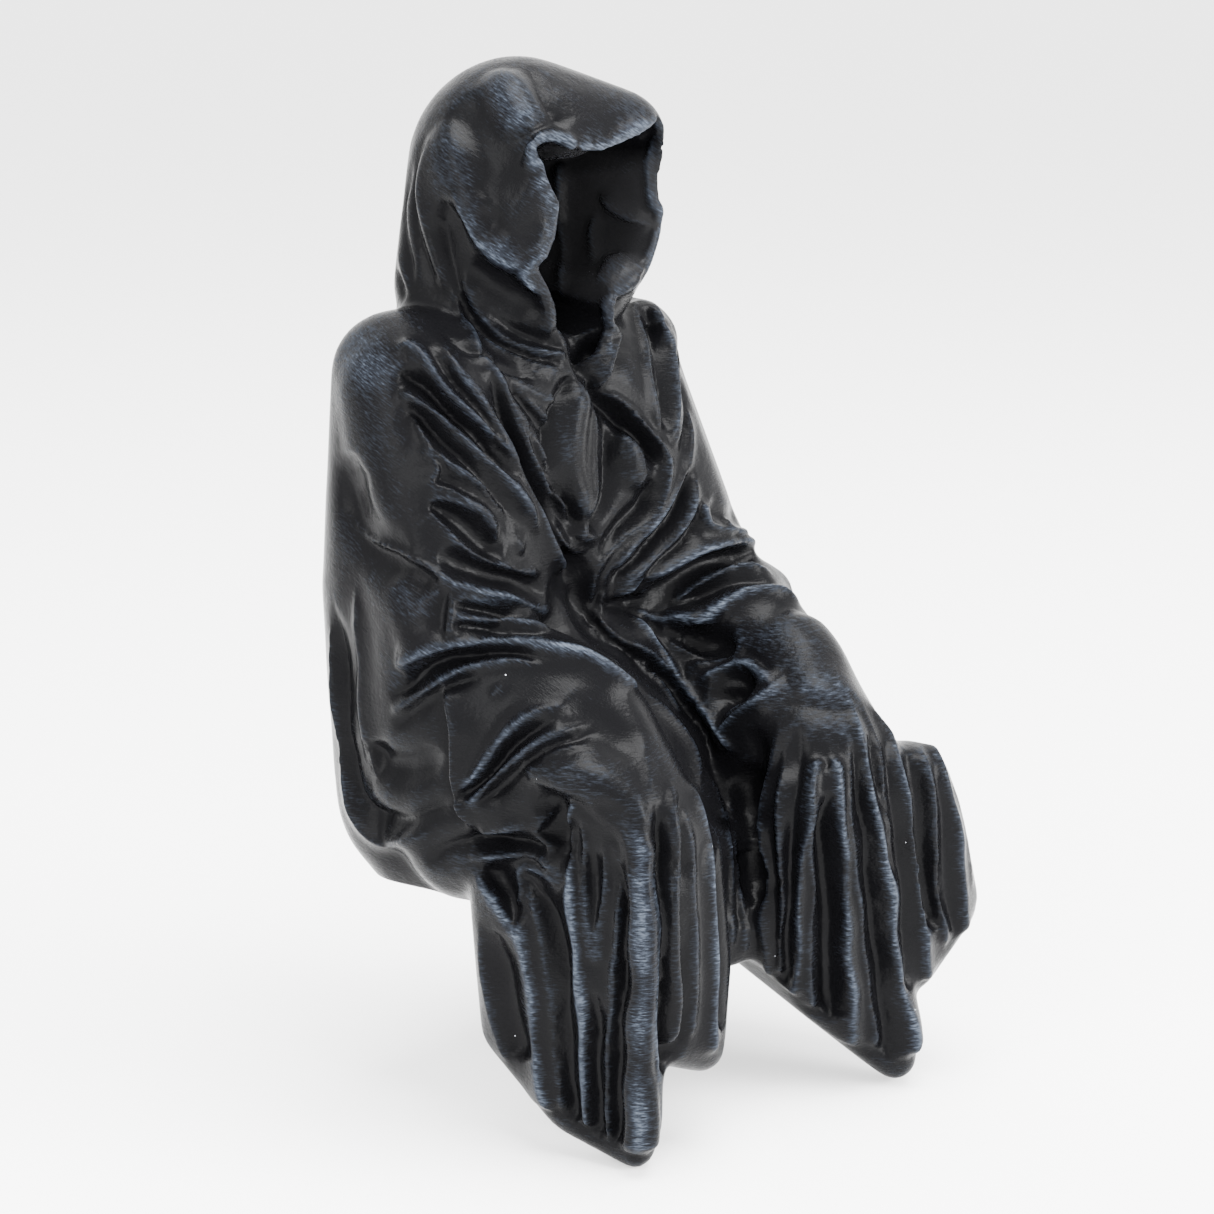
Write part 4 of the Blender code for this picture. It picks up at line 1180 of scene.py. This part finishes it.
@dataclass
class Relief:
    """Works out where the paint, and the light painted into the hood's hollow, go on the finished robe. Its
    lengths are in drawn units.

    Attributes:
        piece: the robe.
        skin: the carved skin.
        near_rounds: how many rounds of averaging take the fine relief away.
        wide_rounds: how many more take the broad relief away.
        fine_height: how far the fine relief stands out where it counts in full.
        broad_height: how far the broad relief does.
        fine_share: how much the fine relief counts.
        fine_range: the least and the most that it counts as.
        broad_share: how much the broad relief counts.
        broad_range: the least and the most that it counts as.
        bare_load: the dry brush that the relief takes by itself.
        added_load: what it adds where a fold or a patch takes some.
        brush_width: how far from a crest's line the dry brush reaches.
        cloak: how far to the right the cloak's slanting streaks start, and over what length.
        cloak_foot: the same, upwards.
        hood: the same for the hood's.
        hollow_middle: a place in the middle of the hood.
        hollow_reach: how far from there its inside reaches.
        hollow_foot: how high above the seat its inside starts.
        hollow_edge: how softly the painted light in the hollow ends.
        hollow_turn: how squarely its inside faces that place, at the least.
    """

    piece: bpy.types.Object
    skin: Skin
    near_rounds: int = 6
    wide_rounds: int = 50
    fine_height: float = 0.09
    broad_height: float = 1.1
    fine_share: float = 0.75
    fine_range: tuple[float, float] = (-1, 1.2)
    broad_share: float = 0.35
    broad_range: tuple[float, float] = (-1.2, 1)
    bare_load: float = 0.45
    added_load: float = 0.25
    brush_width: float = 2.7
    cloak: tuple[float, float] = (18, 6)
    cloak_foot: tuple[float, float] = (30, 8)
    hood: tuple[float, float] = (90, 6)
    hollow_middle: Place = (3, 0, 107)
    hollow_reach: float = 20
    hollow_foot: tuple[float, float] = (94, 6)
    hollow_edge: float = 2
    hollow_turn: float = 0.25

    def __post_init__(self) -> None:
        """Reads the robe."""
        mesh = self.piece.data
        self.points, self.normals = (array.astype(np.float64) for array in read_points(mesh))
        ends = np.empty(len(mesh.edges) * 2, np.int32)
        mesh.edges.foreach_get("vertices", ends)
        self.ends = ends.reshape(-1, 2).T

    def gathered(self, values: np.ndarray) -> np.ndarray:
        """Adds up the values of the points that each point shares an edge with.

        Args:
            values: a value for each point.

        Returns:
            The sum at each point.
        """
        first, second = self.ends
        count = len(self.points)
        ahead = np.bincount(first, values[second], minlength=count)
        return ahead + np.bincount(second, values[first], minlength=count)

    def relaxed(self, values: np.ndarray, rounds: int) -> np.ndarray:
        """Averages each point's values with its neighbours', over and over.

        Args:
            values: the values, one row to a point.
            rounds: how many times.

        Returns:
            The averaged values.
        """
        degree = self.gathered(np.ones(len(values)))[:, None]
        for _ in range(rounds):
            sums = np.stack([self.gathered(column) for column in values.T], axis=1)
            values = 0.5 * values + 0.5 * sums / degree
        return values

    def bulge(self) -> np.ndarray:
        """How far each point stands out from the robe round it.

        Returns:
            A share that is below 0 in the grooves.
        """
        near = self.relaxed(self.points, self.near_rounds)
        wide = self.relaxed(near, self.wide_rounds)
        fine = dots(self.points - near, self.normals) / (self.fine_height * UNIT)
        broad = dots(near - wide, self.normals) / (self.broad_height * UNIT)
        fine = self.fine_share * np.clip(fine, *self.fine_range)
        broad = self.broad_share * np.clip(broad, *self.broad_range)
        return self.relaxed((fine + broad)[:, None], 1)[:, 0]

    def brushed(self) -> np.ndarray:
        """The dry brush that comes with the crests' lines and the patches.

        Returns:
            How much of it each point takes, 0 to 1.
        """
        crests = KDTree(len(self.skin.worn))
        for index, (spot, _) in enumerate(self.skin.worn):
            crests.insert(spot, index)
        crests.balance()
        found = [crests.find(point) for point in self.points.tolist()]
        loads = np.array([self.skin.worn[index][1] for _, index, _ in found])
        gaps = np.array([gap for _, _, gap in found]) / (self.brush_width * UNIT)
        taken = loads * np.clip(1 - gaps, 0, 1)
        for patch in PATCHES:
            middle = np.array(self.skin.drop(patch.place)[0])
            away = np.linalg.norm(self.points - middle, axis=1) / (patch.radius * UNIT)
            taken = np.maximum(taken, patch.load * np.clip(1 - away ** 2, 0, 1))
        return taken

    def crest(self) -> np.ndarray:
        """All of the dry brush.

        Returns:
            How much of it each point takes, 0 to 1.
        """
        bulge = self.bulge()
        taken = np.maximum(self.bare_load * bulge, self.added_load * bulge + self.brushed())
        return np.clip(taken, 0, 1)

    def slant(self) -> np.ndarray:
        """Where the brush's streaks slant.

        Returns:
            For each point, 1 on the hood and the cloak and 0 elsewhere.
        """
        across, _, height = self.points.T
        cloak = ramp(-across, *self.cloak) * ramp(height, *self.cloak_foot)
        return np.maximum(cloak, ramp(height, *self.hood))

    def painted_hollow_light(self) -> np.ndarray:
        """Where light is painted into the hood's hollow, as a lighter black.

        Returns:
            For each point, 1 on the hood's inside and 0 elsewhere.
        """
        inwards = (np.array(self.hollow_middle) * UNIT - self.points) * np.array([1, 0, 1])
        reach = np.linalg.norm(inwards, axis=1)
        facing = dots(self.normals, inwards) / (reach + 1e-9)
        inside = ramp(-reach, -self.hollow_reach, self.hollow_edge)
        return np.clip(facing / self.hollow_turn, 0, 1) * inside * ramp(self.points[:, 2], *self.hollow_foot)

    def mark(self) -> None:
        """Gives the robe's points the attributes that the paint reads."""
        # The hood's hollow mark says where light is painted in as a lighter black.
        marks = {"crest": self.crest(), "painted_hollow_light": self.painted_hollow_light(), "slant": self.slant()}
        for name, values in marks.items():
            mark = self.piece.data.attributes.new(name, "FLOAT", "POINT")
            mark.data.foreach_set("value", values.astype(np.float32))


@dataclass
class GhostStatue:
    """The cast figure.

    Attributes:
        clay_grid: the grid that the masses are fused on.
        fine_grid: the grid that the folds are carved on.
        most_triangles: how many triangles the finished piece may have.
        edge_setback: how far the shelf's edge stands in front of the figure's middle.
        sharp: how far the skin bends at an edge that isn't shaded smooth.
        finish: its paint.
    """

    clay_grid: float = 0.0010
    fine_grid: float = 0.00045
    most_triangles: int = 188000
    edge_setback: float = 0.0135
    sharp: float = math.radians(65)
    finish: BrushedBlackResin = BrushedBlackResin()

    def masses(self) -> bpy.types.Object:
        """Piles up the masses.

        Returns:
            One object of overlapping hulls.
        """
        clay = bmesh.new()
        for ellipsoids in MASSES.values():
            mass = bmesh.new()
            for centre, radii in ellipsoids:
                place = Matrix.Translation(Vector(centre) * UNIT)
                place = place @ Matrix.Diagonal((*(r * UNIT for r in radii), 1.0))
                bmesh.ops.create_icosphere(mass, subdivisions=3, radius=1.0, matrix=place)
            hull = bmesh.ops.convex_hull(mass, input=mass.verts[:])
            inside = {v for v in hull["geom_interior"] if isinstance(v, bmesh.types.BMVert)}
            bmesh.ops.delete(mass, geom=list(inside), context="VERTS")
            shape = bpy.data.meshes.new("mass")
            mass.to_mesh(shape)
            mass.free()
            clay.from_mesh(shape)
            bpy.data.meshes.remove(shape)
        return new_object("ghost_statue_robe", clay)

    def notch(self) -> bpy.types.Object:
        """The room for a shelf under the seat and behind the hanging robe.

        Returns:
            The cutter.
        """
        shape = bmesh.new()
        middle = Vector((0, FIGURE_HEIGHT / 2 - self.edge_setback, -FIGURE_HEIGHT / 2))
        place = Matrix.Translation(middle) @ Matrix.Scale(FIGURE_HEIGHT, 4)
        bmesh.ops.create_cube(shape, size=1.0, matrix=place)
        return new_object("shelf_notch", shape)

    def carve(self, piece: bpy.types.Object) -> Skin:
        """Carves the folds: the swells first, then the folds on them.

        Args:
            piece: the fused robe.

        Returns:
            The carved skin, with where its crests run.
        """
        skin = Skin(piece, Sketch())
        for fold in SWELLS:
            skin.carve(fold)
        skin.press()
        for folds, wear in FOLD_GROUPS:
            for fold in folds:
                skin.carve(fold, wear)
        skin.press()
        return skin

    def thin(self, piece: bpy.types.Object) -> None:
        """Thins the skin to the triangles that it may have.

        Args:
            piece: the carved robe.
        """
        triangles = sum(len(face.vertices) - 2 for face in piece.data.polygons)
        fewer = piece.modifiers.new("thin", "DECIMATE")
        fewer.ratio = min(1.0, self.most_triangles / triangles)
        settle(piece)

    def build(self) -> bpy.types.Object:
        """Models, paints and places the figure.

        Returns:
            The finished piece.
        """
        robe = self.masses()
        fuse(robe, self.clay_grid, rounds=12)
        cut(robe, HoodHollow().cutter())
        fuse(robe, self.fine_grid, rounds=4)
        skin = self.carve(robe)
        fuse(robe, self.fine_grid, rounds=1)
        self.thin(robe)
        cut(robe, self.notch())
        Relief(robe, skin).mark()
        robe.data.shade_smooth()
        robe.data.set_sharp_from_angle(angle=self.sharp)
        robe.data.materials.clear()
        robe.data.materials.append(self.finish.material())
        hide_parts("ghost_statue")
        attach(robe, "root")
        return robe


@dataclass
class Studio:
    """A pale floor, soft lights and the camera.

    Attributes:
        floor_half: half the floor's width.
        floor_gap: how far the floor lies below the lowest fold.
        floor_colour: the floor's colour.
        floor_roughness: how matt it is.
        backdrop: the colour all round.
        backdrop_strength: how bright it is.
        target: what the lights point at.
        lens: the camera's lens, in millimetres.
        sensor: the width of its sensor, in millimetres.
        camera_place: where the camera stands.
        camera_turn: how it is turned, in degrees.
    """

    floor_half: float = 6.0
    floor_gap: float = 0.0005
    floor_colour: str = "f4f4f4"
    floor_roughness: float = 0.9
    backdrop: str = "ffffff"
    backdrop_strength: float = 4.0
    target: Vector = Vector((0, -0.015, 0.05))
    lens: float = 85.0
    sensor: float = 36.0
    camera_place: tuple[float, float, float] = (-0.3523, -0.3301, 0.1638)
    camera_turn: tuple[float, float, float] = (76.0, 0.0, -48.0)

    def lay_floor(self) -> None:
        """Lays a plain matt floor just below the lowest fold."""
        shape = bmesh.new()
        bmesh.ops.create_grid(shape, x_segments=1, y_segments=1, size=self.floor_half)
        level = CAD_BOX[0][2] - self.floor_gap
        bmesh.ops.translate(shape, verts=shape.verts[:], vec=(0, 0, level))
        floor = new_object("floor", shape)
        matt = bpy.data.materials.new("matt_floor_paint")
        matt.use_nodes = True
        shader = matt.node_tree.nodes["Principled BSDF"]
        shader.inputs["Base Color"].default_value = srgb(self.floor_colour)
        shader.inputs["Roughness"].default_value = self.floor_roughness
        floor.data.materials.append(matt)

    def hang_light(self, name: str, place: Place, size: float, watts: float) -> bpy.types.Object:
        """Hangs one soft square light that faces the figure.

        Args:
            name: its name.
            place: where it hangs.
            size: its side.
            watts: its power.

        Returns:
            The lamp.
        """
        data = bpy.data.lights.new(name, "AREA")
        data.shape = "SQUARE"
        data.size = size
        data.energy = watts
        lamp = bpy.data.objects.new(name, data)
        lamp.location = place
        lamp.rotation_euler = (self.target - Vector(place)).to_track_quat("-Z", "Y").to_euler()
        bpy.context.scene.collection.objects.link(lamp)
        return lamp

    def set_camera(self) -> None:
        """Sets the camera at the sketch's view."""
        data = bpy.data.cameras.new("camera")
        data.lens = self.lens
        data.sensor_width = self.sensor
        camera = bpy.data.objects.new("camera", data)
        camera.location = self.camera_place
        camera.rotation_euler = [math.radians(angle) for angle in self.camera_turn]
        bpy.context.scene.collection.objects.link(camera)
        bpy.context.scene.camera = camera

    def build(self) -> None:
        """Sets up the studio."""
        self.lay_floor()
        self.hang_light("light_left", (-0.85, -0.05, 0.40), 0.5, 9.5)
        self.hang_light("light_right", (0.35, -0.85, 0.30), 0.5, 32.0)
        self.hang_light("light_top", (0.03, -0.15, 0.85), 0.6, 36.0)
        fill = self.hang_light("light_fill", (-0.55, -0.50, 0.25), 0.5, 8.0)
        fill.visible_glossy = False
        world = bpy.data.worlds.new("studio")
        world.use_nodes = True
        backdrop = world.node_tree.nodes["Background"]
        backdrop.inputs["Color"].default_value = srgb(self.backdrop)
        backdrop.inputs["Strength"].default_value = self.backdrop_strength
        bpy.context.scene.world = world


def main() -> None:
    """Builds the statue and the studio, and logs how many triangles the statue has."""
    logging.basicConfig(level=logging.INFO, format="%(message)s")
    studio = Studio()
    studio.set_camera()
    robe = GhostStatue().build()
    triangles = sum(len(face.vertices) - 2 for face in robe.data.polygons)
    LOG.info("%s: %d triangles", robe.name, triangles)
    studio.build()
    LOG.info("studio: floor, lights and camera")


if __name__ == "__main__":
    main()
